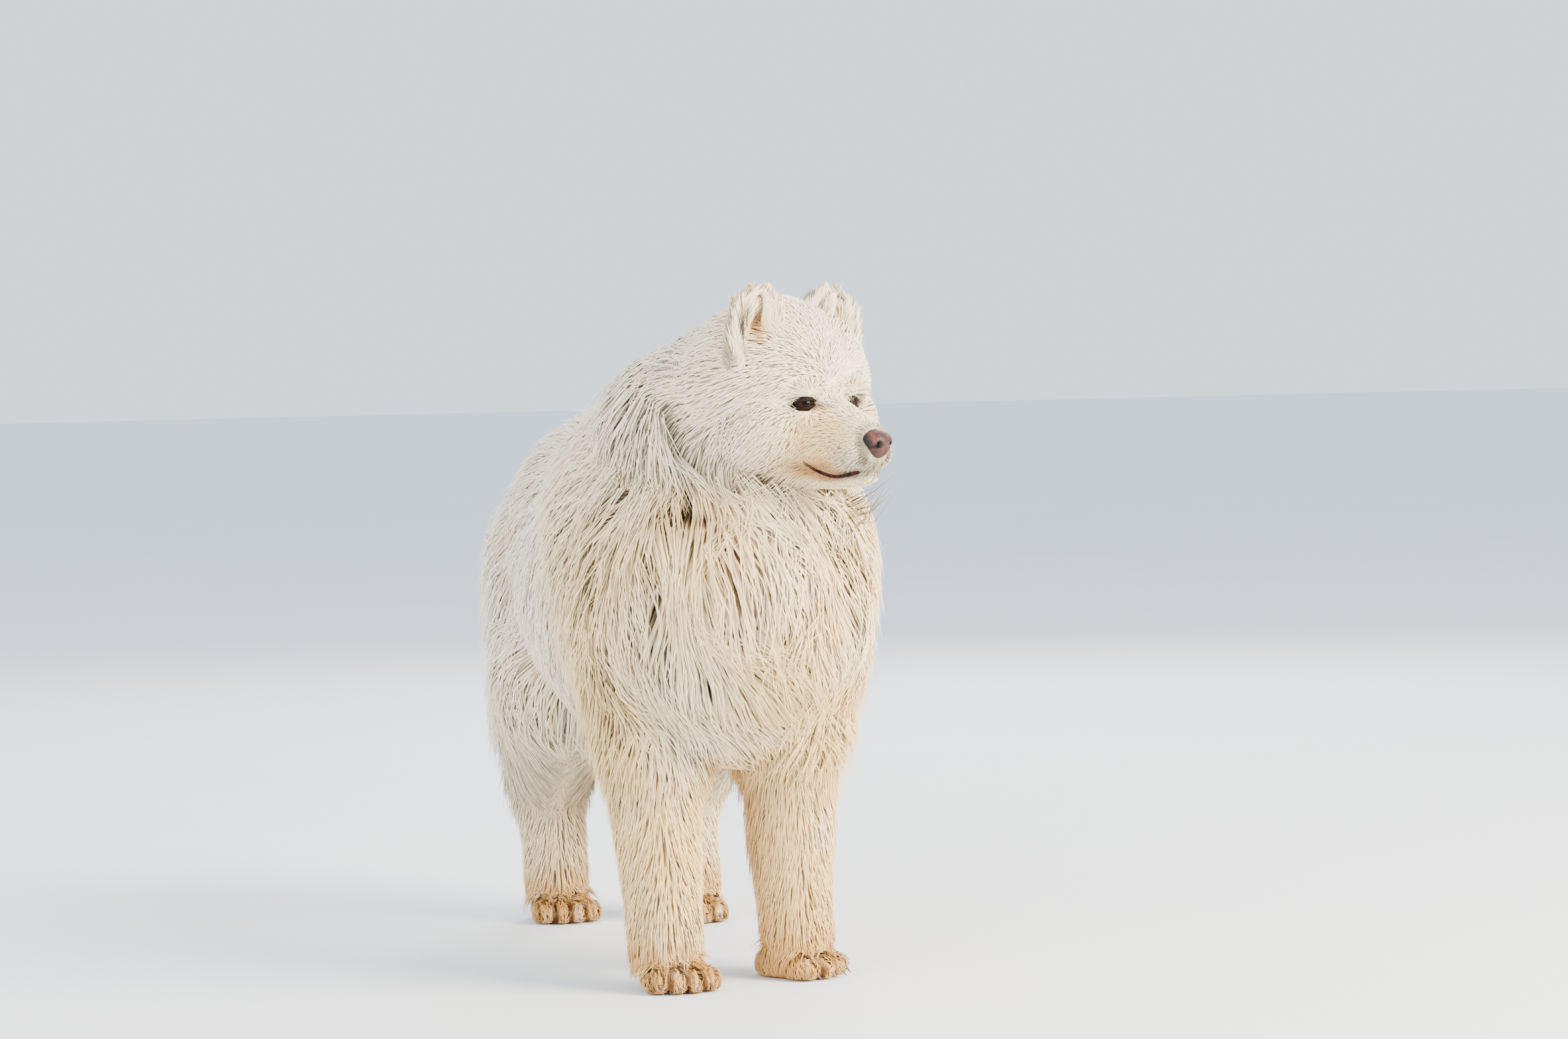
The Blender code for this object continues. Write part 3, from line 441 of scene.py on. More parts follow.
def open_face(bm):
    """Sinks the skin behind the eyes and along the line of the mouth."""
    groove_width, groove_depth, eye_depth, head_reach = 0.0045, 0.0030, 0.010, 0.12
    line = []
    for side in (-1, 1):
        half = [on_side(side, point) for point in MOUTH_LINE]
        for start, end in zip(half, half[1:]):
            line.extend(start.lerp(end, step / 6) for step in range(6))
    near_mouth = kdtree.KDTree(len(line))
    for place, point in enumerate(line):
        near_mouth.insert(point, place)
    near_mouth.balance()
    inner = in_head(0, 0.0, -0.055)
    eyes = [eye_axes(side) for side in (-1, 1)]
    for vert in bm.verts:
        if (vert.co - EYES_MIDDLE).length > head_reach:
            continue
        for centre, outward, sideways, up in eyes:
            away = vert.co - centre
            if away.dot(outward) < 0:
                continue
            round_it = math.hypot(
                away.dot(sideways) / EYE_HALF_OPEN[0], away.dot(up) / (EYE_HALF_OPEN[1] * 1.05)
            )
            if round_it < 1.15:
                vert.co -= outward * eye_depth * min(1.0, (1.15 - round_it) / 0.3)
        _, _, distance = near_mouth.find(vert.co)
        if distance < groove_width:
            sunk = groove_depth * (1 - distance / groove_width)
            vert.co += (inner - vert.co).normalized() * sunk


# Fields over the skin, worked out for many roots at once


def ease(value, low, high):
    share = np.clip((value - low) / (high - low), 0.0, 1.0)
    return share * share * (3 - 2 * share)


def blended(first, second, share):
    """First where the share is 0, second where it is 1."""
    return first * (1 - share) + second * share


def blend_ways(first, second, share):
    return blended(first, second, share[:, None])


def unit(ways):
    return ways / np.maximum(np.linalg.norm(ways, axis=1, keepdims=True), 1e-9)


def rows(*columns):
    """One direction or point a row from columns of numbers."""
    count = max(np.size(column) for column in columns)
    return np.stack([np.broadcast_to(column, count) for column in columns], axis=1).astype(float)


def past(points, plane):
    """Signed distance beyond a plane."""
    point, outward = np.array(plane[0]), np.array(plane[1])
    return (points - point) @ (outward / np.linalg.norm(outward))


def head_axes(points):
    """Left, forward and up of each point in the head's axes."""
    local = (points - np.array(EYES_MIDDLE)) @ np.array(TURN)
    return local[:, 0], -local[:, 1], local[:, 2]


def from_tail(points):
    """Distance of each point from the line of the tail, and the tail's direction there."""
    best = np.full(len(points), 1e9)
    way = np.zeros_like(points)
    line = [np.array(row[0]) for row in TAIL[1:]]
    for start, end in zip(line, line[1:]):
        along = end - start
        share = np.clip((points - start) @ along / (along @ along), 0, 1)
        distance = np.linalg.norm(points - start - share[:, None] * along, axis=1)
        nearer = distance < best
        best[nearer] = distance[nearer]
        way[nearer] = along / np.linalg.norm(along)
    return best, way


def waves(points, length, seed):
    """A smooth field of directions that turns over about the given length."""
    dice = np.random.default_rng(seed)
    field = np.zeros_like(points)
    for _ in range(5):
        along = dice.normal(size=(3, 3)) * (math.tau / length / 1.6)
        field += np.sin(points @ along + dice.uniform(0, math.tau, 3))
    return field / 2.2


def weights_of(points):
    """How far each root belongs to head, neck, tail and legs, and the way of the tail there."""
    tail_gap, tail_way = from_tail(points)
    tail = (1 - ease(tail_gap, 0.030, 0.042)) * ease(points[:, 1], 0.285, 0.315)
    head = ease(past(points, HEAD_PLANE), -0.020, 0.020)
    neck = ease(past(points, NECK_PLANE), -0.035, 0.030) * (1 - head)
    legs = ease(-points[:, 2], -0.330, -0.205) * (1 - tail)
    return head, neck, tail, legs, tail_way


def lie_on_face(points):
    """Back from the nose, round the eyes and down the cheeks."""
    left, forward, up = head_axes(points)
    cheek = ease(np.abs(left), 0.025, 0.060) * ease(-up, -0.05, 0.03)
    face = rows(left * 7.0, -1.0, -0.10 - 0.55 * cheek + 5.0 * np.maximum(up, 0))
    for side in (-1, 1):
        apart = rows(left, forward, up) - np.array([side * 0.037, -0.006, 0.0])
        push = 1.6 * (1 - ease(np.linalg.norm(apart, axis=1), 0.010, 0.026))
        face += unit(apart) * push[:, None]
    face = unit(face)
    face[:, 1] *= -1
    return face @ np.array(TURN).T


def lie_of(points, normals):
    """The way the coat runs over the skin."""
    head, neck, tail, legs, tail_way = weights_of(points)
    x, y, z = points.T
    nx, ny, nz = normals.T
    steep = 0.15 + 0.95 * (1 - np.abs(nz)) + 0.6 * np.clip((y - 0.19) / 0.06, 0, 1)
    swept = 1 - ease(x, -0.02, 0.09)
    breast = np.clip((-0.150 - y) / 0.08, 0, 1)
    throat = np.clip((-0.215 - y) / 0.06, 0, 1)
    trunk = blend_ways(rows(0.0, 0.85, -steep), rows(0.55 * swept - 0.10, 0.05, -1.0), breast)
    ruff = blend_ways(
        rows(np.sign(x) * 0.15, 0.55, -0.85), rows(0.30 * swept - 0.05, -0.10, -1.0), throat
    )
    leg = rows(nx * 0.05, 0.10 + 0.35 * np.maximum(ny, 0), -1.0)
    leg = blend_ways(leg, rows(nx * 0.3, -0.6, -0.7), ease(-z, -0.055, -0.035))
    way = blend_ways(unit(trunk), unit(ruff), neck)
    way = blend_ways(way, unit(leg), legs)
    way = blend_ways(way, unit(tail_way + normals * 0.35 + np.array((0.0, 0.25, 0.0))), tail)
    way = blend_ways(way, lie_on_face(points), head)
    curl = 0.27 * (1 - head) * (1 - legs) + 0.07
    way = unit(way) + waves(points, 0.075, 3) * curl[:, None]
    way += waves(points, 0.026, 5) * (curl * 0.30)[:, None]
    return unit(way - normals * np.sum(way * normals, axis=1)[:, None])


def grown(hair, *changes):
    """Length and height of hair, with more of each by its share."""
    length, height = hair
    for share, longer, higher in changes:
        length = length + longer * share
        height = height + higher * share
    return np.stack([length, height])


def hair_on_trunk(points, normals):
    x, y, z = points.T
    belly = ease(-normals[:, 2], 0.25, 0.8)
    front = ease(-y, 0.16, 0.25)
    low_side = ease(-z, -0.42, -0.30) * ease(np.abs(x), 0.04, 0.09) * ease(-y, 0.05, 0.15)
    return grown(
        TRUNK_HAIR, (front, 0.016, 0.002), (ease(y, 0.17, 0.25), 0.010, 0.0),
        (belly, -0.014, 0.0), (belly * (1 - front), 0.0, -0.016), (low_side, 0.0, -0.016),
    )


def hair_on_legs(points, normals):
    z = points[:, 2]
    behind = np.clip(normals[:, 1] + 0.30, 0, 1)
    upper = ease(z, 0.05, 0.22)
    drape = ease(z, 0.030, 0.055) * ease(-z, -0.120, -0.080)
    leg = grown(
        LEG_HAIR, (upper, 0.020, 0.0065), (behind * upper, 0.026, 0.013), (drape, 0.014, 0.0020)
    )
    return blended(leg, np.array(PAW_HAIR)[:, None], ease(-z, -0.052, -0.022))


def hair_on_head(points):
    left, forward, up = head_axes(points)
    crown = ease(up, 0.02, 0.06)
    start = 0.020 + 0.055 * crown
    far_cheek = ease(left, 0.018, 0.045) * ease(forward, -0.075, -0.040)
    far_cheek *= 1 - ease(forward, 0.010, 0.035)
    ear_gap = np.linalg.norm(rows(np.abs(left), forward, up) - np.array(EAR_ROOT), axis=1)
    round_ear = (1 - ease(ear_gap, 0.018, 0.040)) * ease(-forward, 0.055, 0.085)
    face = grown(
        FACE_HAIR, (ease(-forward, -0.040, 0.010), 0.0040, 0.0020),
        (ease(-forward, 0.002, 0.060), 0.014, 0.0080), (crown, 0.003, 0.0015),
        (far_cheek, 0.012, 0.012), (round_ear, 0.018, 0.011),
    )
    return blended(face, np.array(NAPE_HAIR)[:, None], ease(-forward, start, start + 0.085))


def coat_of(points, normals):
    """Length of the hair, height of its tips over the skin, width of a tuft and spacing."""
    head, neck, tail, legs, _ = weights_of(points)
    hair = blended(hair_on_trunk(points, normals), np.array(NECK_HAIR)[:, None], neck)
    hair = blended(hair, hair_on_legs(points, normals), legs)
    hair = blended(hair, np.array(TAIL_HAIR)[:, None], tail)
    length, height = blended(hair, hair_on_head(points), head)
    coarse = np.clip(length / 0.085, 0.0, 1.2) ** 0.8
    return length, height, 0.00100 + 0.00110 * coarse, 0.00152 + 0.00150 * coarse


def corner_arrays(mesh):
    mesh.calc_loop_triangles()
    places = np.zeros(len(mesh.vertices) * 3)
    mesh.vertices.foreach_get("co", places)
    index = np.zeros(len(mesh.loop_triangles) * 3, dtype=np.int64)
    mesh.loop_triangles.foreach_get("vertices", index)
    return places.reshape(-1, 3), index.reshape(-1, 3)


def scattered(places, index, spacing_of, dice):
    """Roots over a surface, as many on each face as its area and the spacing ask."""
    a, b, c = places[index[:, 0]], places[index[:, 1]], places[index[:, 2]]
    cross = np.cross(b - a, c - a)
    area = np.linalg.norm(cross, axis=1) / 2
    normals = unit(cross)
    spacing = spacing_of((a + b + c) / 3, normals)
    wanted = area / spacing ** 2
    count = np.floor(wanted + dice.random(len(wanted))).astype(int)
    chosen = np.repeat(np.arange(len(index)), count)
    first = np.sqrt(dice.random(len(chosen)))[:, None]
    second = dice.random(len(chosen))[:, None]
    roots = a[chosen] * (1 - first) + b[chosen] * (first * (1 - second)) + c[chosen] * (first * second)
    return roots, normals[chosen]


class Surface:
    """A mesh that roots and hairs are measured against."""

    def __init__(self, places, index):
        self.tree = BVHTree.FromPolygons(places.tolist(), index.tolist())

    def under(self, points):
        """The nearest places on the surface, and their normals."""
        find = self.tree.find_nearest
        near = np.empty_like(points)
        out = np.empty_like(points)
        for place, point in enumerate(points):
            hit, normal, _, _ = find(point)
            near[place] = hit
            out[place] = normal
        return near, out


def hair_paths(surface, roots, normals, ways, length, height, steps, droop=0.30):
    """The line of each tuft: out of the skin and then over it along the lie."""
    path = [roots - normals * ROOT_DEPTH]
    outs = [normals]
    point, out, way = roots, normals, ways
    before = 0.0
    for step in range(1, steps + 1):
        share = step / steps
        reach = share ** 0.75
        way = way + np.array([0.0, 0.0, -1.0]) * (droop / steps)
        way = unit(way - out * np.sum(way * out, axis=1)[:, None])
        ahead = point + way * (length * (reach - before))[:, None]
        before = reach
        point, out = surface.under(ahead)
        rise = 1 - (1 - reach) ** 2.6
        path.append(point + out * (height * rise)[:, None])
        outs.append(unit(out + normals * 0.4))
    return np.stack(path, axis=1), np.stack(outs, axis=1)


def gathered(path, roots, spacing, strength, dice):
    """Draws the tips of neighbouring tufts together into small locks, each by its strength."""
    count = len(roots)
    leaders = dice.choice(count, max(1, int(count * spacing)), replace=False)
    tree = kdtree.KDTree(len(leaders))
    for place, leader in enumerate(leaders):
        tree.insert(roots[leader], place)
    tree.balance()
    near = np.array([leaders[tree.find(root)[1]] for root in roots])
    steps = path.shape[1] - 1
    shares = (np.arange(steps + 1) / steps) ** 1.4
    goal = path[near] + (roots - roots[near])[:, None, :] * 0.30
    pull = (np.reshape(strength, (-1, 1)) * shares[None, :])[:, :, None]
    return path + (goal - path) * pull


def tuft_arrays(path, outs, widths):
    """Corners and faces of closed three-sided tufts along paths."""
    count, stops, _ = path.shape
    steps = stops - 1
    along = np.empty_like(path[:, :-1])
    along[:, 0] = path[:, 1] - path[:, 0]
    along[:, 1:] = path[:, 2:] - path[:, :-2]
    across = np.cross(along, outs[:, :-1])
    across /= np.maximum(np.linalg.norm(across, axis=2, keepdims=True), 1e-9)
    out = np.cross(across, along)
    out /= np.maximum(np.linalg.norm(out, axis=2, keepdims=True), 1e-9)
    shares = np.arange(steps) / steps
    profile = (0.75 + 0.35 * np.sin(math.pi * np.minimum(shares * 1.3, 1.0))) * (1 - 0.45 * shares ** 2)
    half = widths[:, None, None] / 2 * profile[None, :, None]
    corners = np.empty((count, steps * 3 + 1, 3))
    rings = path[:, :-1]
    ridge = out * half * TUFT_THICKNESS
    corners[:, 0:-1:3] = rings + across * half - ridge
    corners[:, 1:-1:3] = rings + ridge
    corners[:, 2:-1:3] = rings - across * half - ridge
    corners[:, -1] = path[:, -1]
    soft = np.empty_like(corners)
    outs = outs + outs[:, :1] * 0.6
    reach = np.linalg.norm(path[:, -1] - path[:, 0], axis=1)[:, None, None]
    crisp = np.clip(1.0 - 0.5 * reach / 0.05, 0.18, 1.0)
    soft[:, 0:-1:3] = (across - out * 0.3) * crisp + outs[:, :-1]
    soft[:, 1:-1:3] = out * crisp + outs[:, :-1]
    soft[:, 2:-1:3] = (-across - out * 0.3) * crisp + outs[:, :-1]
    soft[:, -1] = outs[:, -1]
    soft /= np.linalg.norm(soft, axis=2, keepdims=True)
    faces = [(0, 1, 2)]
    for ring in range(steps - 1):
        for side in range(3):
            a, b = ring * 3 + side, ring * 3 + (side + 1) % 3
            faces.append((a, b + 3, b))
            faces.append((a, a + 3, b + 3))
    last = (steps - 1) * 3
    for side in range(3):
        faces.append((last + side, steps * 3, last + (side + 1) % 3))
    return corners, soft, np.array(faces)


def coat_piece(name, path, outs, widths, patches, tones):
    """One piece of coat from many tufts, with a small patch of the bake map each."""
    corners, soft, pattern = tuft_arrays(path, outs, widths)
    count, each, _ = corners.shape
    faces = (pattern[None] + (np.arange(count) * each)[:, None, None]).reshape(-1, 3)
    mesh = bpy.data.meshes.new(name)
    mesh.vertices.add(count * each)
    mesh.vertices.foreach_set("co", (corners + np.array(SHIFT)).ravel())
    mesh.loops.add(len(faces) * 3)
    mesh.loops.foreach_set("vertex_index", faces.ravel().astype(np.int32))
    mesh.polygons.add(len(faces))
    mesh.polygons.foreach_set("loop_start", np.arange(len(faces), dtype=np.int32) * 3)
    mesh.polygons.foreach_set("use_smooth", np.ones(len(faces), dtype=bool))
    steps = (each - 1) // 3
    along = np.append(np.repeat(np.arange(steps) / steps, 3), 1.0)
    beside = np.append(np.tile((-1.0, 0.0, 1.0), steps), 0.0)
    local = np.stack([beside / 2, along - 0.5], axis=1) * PATCH_SIZE
    chart = (patches[:, None, :] + local[None]).reshape(-1, 2)
    layer = mesh.uv_layers.new(name="OFBake")
    layer.data.foreach_set("uv", chart[faces.ravel()].ravel())
    share = mesh.attributes.new("along", "FLOAT", "POINT")
    share.data.foreach_set("value", np.tile(along, count).astype(np.float32))
    tone = mesh.attributes.new("tone", "FLOAT", "POINT")
    tone.data.foreach_set("value", np.repeat(tones, each).astype(np.float32))
    mesh.update()
    mesh.normals_split_custom_set_from_vertices(soft.reshape(-1, 3))
    item = bpy.data.objects.new(name, mesh)
    bpy.context.scene.collection.objects.link(item)
    mesh.materials.append(hair)
    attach(item, "root")


class Chart:
    """An unwrap of the skin's own shape, coarse, for the bake map of the tufts."""

    def __init__(self, skin):
        copy = bpy.data.objects.new("chart", skin.data.copy())
        bpy.context.scene.collection.objects.link(copy)
        fewer = copy.modifiers.new("fewer", "DECIMATE")
        fewer.ratio = CHART_FACES / (2 * len(copy.data.polygons))
        fewer.use_collapse_triangulate = True
        graph = bpy.context.evaluated_depsgraph_get()
        done = bpy.data.meshes.new_from_object(copy.evaluated_get(graph))
        copy.modifiers.clear()
        copy.data = done
        unwrapped(copy)
        self.places, self.index = corner_arrays(done)
        loops = np.zeros(len(done.loop_triangles) * 3, dtype=np.int64)
        done.loop_triangles.foreach_get("loops", loops)
        flat = np.zeros(len(done.loops) * 2)
        done.uv_layers.active.data.foreach_get("uv", flat)
        self.flat = flat.reshape(-1, 2)[loops.reshape(-1, 3)]
        self.tree = BVHTree.FromPolygons(self.places.tolist(), self.index.tolist())
        bpy.data.objects.remove(copy)

    def at(self, roots):
        """The place of each root on the unwrap."""
        find = self.tree.find_nearest
        faces = np.empty(len(roots), dtype=int)
        spots = np.empty_like(roots)
        for place, root in enumerate(roots + np.array(SHIFT)):
            hit, _, face, _ = find(root)
            faces[place] = face
            spots[place] = hit
        a, b, c = (self.places[self.index[faces, corner]] for corner in range(3))
        ab, ac, ap = b - a, c - a, spots - a
        d00, d01, d11 = (ab * ab).sum(1), (ab * ac).sum(1), (ac * ac).sum(1)
        d20, d21 = (ap * ab).sum(1), (ap * ac).sum(1)
        whole = np.maximum(d00 * d11 - d01 * d01, 1e-18)
        v = np.clip((d11 * d20 - d01 * d21) / whole, 0, 1)
        w = np.clip((d00 * d21 - d01 * d20) / whole, 0, 1 - v)
        u = 1 - v - w
        flat = self.flat[faces]
        return flat[:, 0] * u[:, None] + flat[:, 1] * v[:, None] + flat[:, 2] * w[:, None]


def unwrapped(item):
    bpy.context.view_layer.objects.active = item
    item.select_set(True)
    bpy.ops.object.mode_set(mode="EDIT")
    bpy.ops.mesh.select_all(action="SELECT")
    bpy.ops.uv.smart_project(angle_limit=math.radians(66), island_margin=0.003)
    bpy.ops.object.mode_set(mode="OBJECT")
    item.select_set(False)


# Finishes


class Amount:
    """A socket of numbers in a material, for sums written as plain expressions."""

    def __init__(self, paint, socket):
        self.paint = paint
        self.socket = socket

    def _math(self, operation, *values):
        return self.paint.node("ShaderNodeMath", {"operation": operation}, *values)

    def __add__(self, other):
        return self._math("ADD", self, other)

    __radd__ = __add__

    def __mul__(self, other):
        return self._math("MULTIPLY", self, other)

    __rmul__ = __mul__

    def __sub__(self, other):
        return self._math("SUBTRACT", self, other)

    def __rsub__(self, other):
        return self._math("SUBTRACT", other, self)

    def __truediv__(self, other):
        return self._math("DIVIDE", self, other)

    def __pow__(self, other):
        return self._math("POWER", self, other)

    def size(self):
        return self._math("ABSOLUTE", self)

    def eased(self, low, high):
        """0 below low, 1 above high, smooth between."""
        return self.paint.node(
            "ShaderNodeMapRange", {"interpolation_type": "SMOOTHSTEP"}, self, low, high, 0.0, 1.0
        )


class Paint:
    """A material under construction."""

    def __init__(self, name, roughness=0.6, **constants):
        self.material = bpy.data.materials.new(name)
        self.material.use_nodes = True
        self.tree = self.material.node_tree
        self.shader = self.tree.nodes["Principled BSDF"]
        self.shader.inputs["Roughness"].default_value = roughness
        for socket, value in constants.items():
            self.shader.inputs[socket.replace("_", " ")].default_value = value

    def node(self, kind, settings=None, *values, out=0, **named):
        made = self.tree.nodes.new(kind)
        for key, value in (settings or {}).items():
            setattr(made, key, value)
        for socket, value in [*enumerate(values), *named.items()]:
            key = socket.replace("_", " ") if isinstance(socket, str) else socket
            if isinstance(value, Amount):
                self.tree.links.new(value.socket, made.inputs[key])
            else:
                made.inputs[key].default_value = value
        return Amount(self, made.outputs[out])

    def place(self):
        """Object coordinates, brought back to the dog's own axes."""
        here = self.node("ShaderNodeTexCoord", out="Object")
        return self.node("ShaderNodeVectorMath", {"operation": "SUBTRACT"}, here, tuple(SHIFT))

    def axes(self, point):
        split = self.node("ShaderNodeSeparateXYZ", None, point).socket.node
        return [Amount(self, split.outputs[axis]) for axis in range(3)]

    def head_axes(self, x, y, z):
        """Distance from the head's middle plane, forward and up."""
        cos, sin = math.cos(HEAD_TURN), math.sin(HEAD_TURN)
        dx, dy = x - EYES_MIDDLE.x, y - EYES_MIDDLE.y
        return (dx * cos + dy * sin).size(), dx * sin - dy * cos, z - EYES_MIDDLE.z

    def noise(self, point, scale, detail=2.0, rough=0.5):
        return self.node(
            "ShaderNodeTexNoise", None, Vector=point, Scale=scale, Detail=detail, Roughness=rough
        )

    def mixed(self, share, first, second, blend="MIX"):
        """First where the share is 0, second where it is 1."""
        made = self.tree.nodes.new("ShaderNodeMix")
        made.data_type = "RGBA"
        made.blend_type = blend
        ports = {"Factor": 0, "A": 6, "B": 7}
        for key, value in (("Factor", share), ("A", first), ("B", second)):
            port = made.inputs[ports[key]]
            if isinstance(value, Amount):
                self.tree.links.new(value.socket, port)
            else:
                port.default_value = value if key == "Factor" else (*value, 1.0)
        return Amount(self, made.outputs[2])

    def feed(self, socket, value):
        self.tree.links.new(value.socket, self.shader.inputs[socket])

    def bump(self, height, strength, distance):
        made = self.node(
            "ShaderNodeBump", None, Strength=strength, Distance=distance, Height=height
        )
        self.feed("Normal", made)


def patch_of(paint, axes, centre, size, edge=0.5):
    """1 inside an ellipsoid and 0 outside it, with a soft edge."""
    a, b, c = ((axis - mid) / reach for axis, mid, reach in zip(axes, centre, size))
    gap = (a * a + b * b + c * c) ** 0.5
    return 1 - gap.eased(1 - edge, 1 + edge)


WHITE = (0.95, 0.820, 0.590)
COOL_WHITE = (0.94, 0.860, 0.710)
CREAM = (0.92, 0.640, 0.300)
TAN = (0.66, 0.370, 0.120)
GREY = (0.30, 0.260, 0.230)
RUST = (0.32, 0.110, 0.032)
# Painted shade: the dark brown between the toes, deep in the ear cups and along the parting
PAINTED_SHADE_BROWN = (0.060, 0.015, 0.004)
SLATE = (0.022, 0.016, 0.015)
TOE_GAP = 0.018
TOES_AHEAD = 0.030
WHISKER_PAD = ((0.026, 0.026, -0.050), (0.012, 0.018, 0.012))


# Markings of the head, and painted shade in the ear cups: middle distance, forward and up, then reach,
# tint and strength
HEAD_MARKS_AND_SHADE = (
    # sides of the muzzle and the cheeks
    ((0.040, -0.030, -0.040), (0.030, 0.040, 0.034), CREAM, 0.60),
    ((0.030, 0.008, -0.034), (0.024, 0.038, 0.028), CREAM, 0.90),
    ((0.062, -0.090, 0.004), (0.020, 0.030, 0.024), CREAM, 0.60),
    # brows and the corners of the eyes
    ((0.030, -0.010, 0.019), (0.017, 0.018, 0.009), TAN, 0.32),
    ((0.022, 0.002, -0.003), (0.009, 0.012, 0.005), RUST, 0.55),
    ((0.0365, -0.0065, 0.0005), (0.0150, 0.014, 0.0062), SLATE, 0.95),
    # streaks under each ear, tan on its cup, and painted shade deep in the cup
    ((0.062, -0.072, 0.030), (0.016, 0.026, 0.034), TAN, 0.60),
    ((0.058, -0.064, 0.070), (0.013, 0.024, 0.030), TAN, 0.90),
    ((0.058, -0.068, 0.066), (0.007, 0.020, 0.022), PAINTED_SHADE_BROWN, 1.00),
    # stain along the lips and at the corner of the mouth
    ((0.037, 0.002, -0.067), (0.016, 0.036, 0.014), TAN, 0.85),
    ((0.038, 0.000, -0.066), (0.012, 0.024, 0.009), RUST, 0.80),
    ((0.030, 0.018, -0.074), (0.014, 0.024, 0.006), RUST, 0.75),
    # front of the muzzle
    ((0.020, 0.036, -0.054), (0.014, 0.020, 0.014), GREY, 0.60),
    ((0.016, 0.044, -0.0705), (0.018, 0.020, 0.005), SLATE, 0.62),
    ((0.000, 0.060, -0.060), (0.022, 0.016, 0.009), SLATE, 0.62),
    ((0.0175, 0.053, -0.044), (0.007, 0.010, 0.018), SLATE, 0.75),
    ((0.000, 0.050, -0.026), (0.020, 0.010, 0.006), SLATE, 0.55),
)
# Beside the collar, where the long hair parts, in the dog's own axes: a tan patch, and painted shade
# along the parting
PARTING_TINT_AND_SHADE = (
    ((-0.055, -0.300, 0.490), (0.044, 0.060, 0.030), TAN, 0.42),
    ((-0.052, -0.292, 0.484), (0.014, 0.050, 0.010), PAINTED_SHADE_BROWN, 0.60),
)


def coat_colour(paint):
    """The markings, alike on skin and coat: nearly white, cream and tan where it is stained, with
    painted shade between the toes, deep in the ear cups and along the parting at the collar.
    """
    here = paint.place()
    x, y, z = paint.axes(here)
    head = paint.head_axes(x, y, z)
    broad = paint.noise(here, 9.0, 3.0)
    fine = paint.noise(here, 60.0, 3.0)
    colour = paint.mixed(broad.eased(0.35, 0.70), WHITE, COOL_WHITE)
    low = 1 - z.eased(0.10, 0.42)
    chest = (1 - y.eased(-0.20, -0.05)) * (1 - z.eased(0.44, 0.60)) * 0.80
    colour = paint.mixed((chest + low * 0.55) * broad.eased(0.20, 0.62), colour, CREAM)
    feet = (1 - z.eased(0.012, 0.100)) * (0.60 + 0.6 * fine.eased(0.30, 0.65))
    colour = paint.mixed(feet, colour, TAN)
    for side, heel_x, heel_y, turn in paws():
        cos, sin = math.cos(side * turn), math.sin(side * turn)
        dx, dy = x - side * heel_x, y - heel_y
        # Painted shade in the creases between the toes
        toe_gap_shade = paint.node(
            "ShaderNodeMath", {"operation": "COSINE"}, (dx * cos + dy * sin) * (math.tau / TOE_GAP)
        )
        front = dx - TOES_AHEAD * sin, dy + TOES_AHEAD * cos, z
        toes = patch_of(paint, front, (0.0, 0.0, 0.004), (0.038, 0.036, 0.024), 0.3)
        colour = paint.mixed(toes * toe_gap_shade.eased(0.0, 0.9) * (0.45 + 0.8 * fine), colour, PAINTED_SHADE_BROWN)
    for axes, marks_and_shade in (head, HEAD_MARKS_AND_SHADE), ((x, y, z), PARTING_TINT_AND_SHADE):
        for centre, size, tint, strength in marks_and_shade:
            # Markings, and painted shade in the ear cups and along the parting
            mark_and_shade_mask = patch_of(paint, axes, centre, size)
            colour = paint.mixed(mark_and_shade_mask * strength * (0.70 + 0.5 * fine), colour, tint)
    cells = paint.node("ShaderNodeTexVoronoi", None, Vector=here, Scale=150.0)
    dots = (1 - cells.eased(0.20, 0.36)) * patch_of(paint, head, *WHISKER_PAD, 0.3)
    colour = paint.mixed(dots * 0.80, colour, SLATE)
    return colour, here, fine


def coat_finish():
    """Hair: painted shade deep in the coat, darker and warmer towards the root, with small differences
    from tuft to tuft.
    """
    paint = Paint("coat hair", roughness=0.70, Specular_IOR_Level=0.20)
    colour, _, _ = coat_colour(paint)
    along = paint.node("ShaderNodeAttribute", {"attribute_name": "along"}, out="Fac")
    tone = paint.node("ShaderNodeAttribute", {"attribute_name": "tone"}, out="Fac")
    # Painted shade deep in the coat, darkest at the root of each tuft
    root = (1 - along.eased(0.0, 0.80)) * 0.60
    colour = paint.mixed(root, colour, (0.92, 0.84, 0.72), "MULTIPLY")
    colour = paint.mixed(tone, colour, (0.94, 0.90, 0.84), "MULTIPLY")
    paint.feed("Base Color", colour)
    return paint.material


def skin_finish():
    paint = Paint("skin", roughness=0.75, Specular_IOR_Level=0.15)
    colour, here, fine = coat_colour(paint)
    colour = paint.mixed(fine.eased(0.3, 0.7), colour, (0.92, 0.86, 0.78), "MULTIPLY")
    paint.feed("Base Color", colour)
    paint.bump(paint.noise(here, 420.0, 3.0), 0.5, 0.002)
    return paint.material


def ear_finish():
    paint = Paint("ear skin", roughness=0.7)
    colour, here, fine = coat_colour(paint)
    inner = 0.5 + fine.eased(0.3, 0.7) * 0.3
    colour = paint.mixed(inner, colour, (0.80, 0.58, 0.45), "MULTIPLY")
    paint.feed("Base Color", colour)
    paint.bump(paint.noise(here, 420.0, 3.0), 0.4, 0.0015)
    return paint.material


# Painted shade inside the nostrils and in the slits beside them, and the dark edge of the pad
NOSTRIL_SHADE_AND_PAD_EDGE = (
    ((0.0084, 0.0665, -0.0420), (0.0036, 0.0090, 0.0042)),
    ((0.0135, 0.0600, -0.0440), (0.0042, 0.0100, 0.0018)),
    ((0.0185, 0.0520, -0.0405), (0.0065, 0.0120, 0.0140)),
)


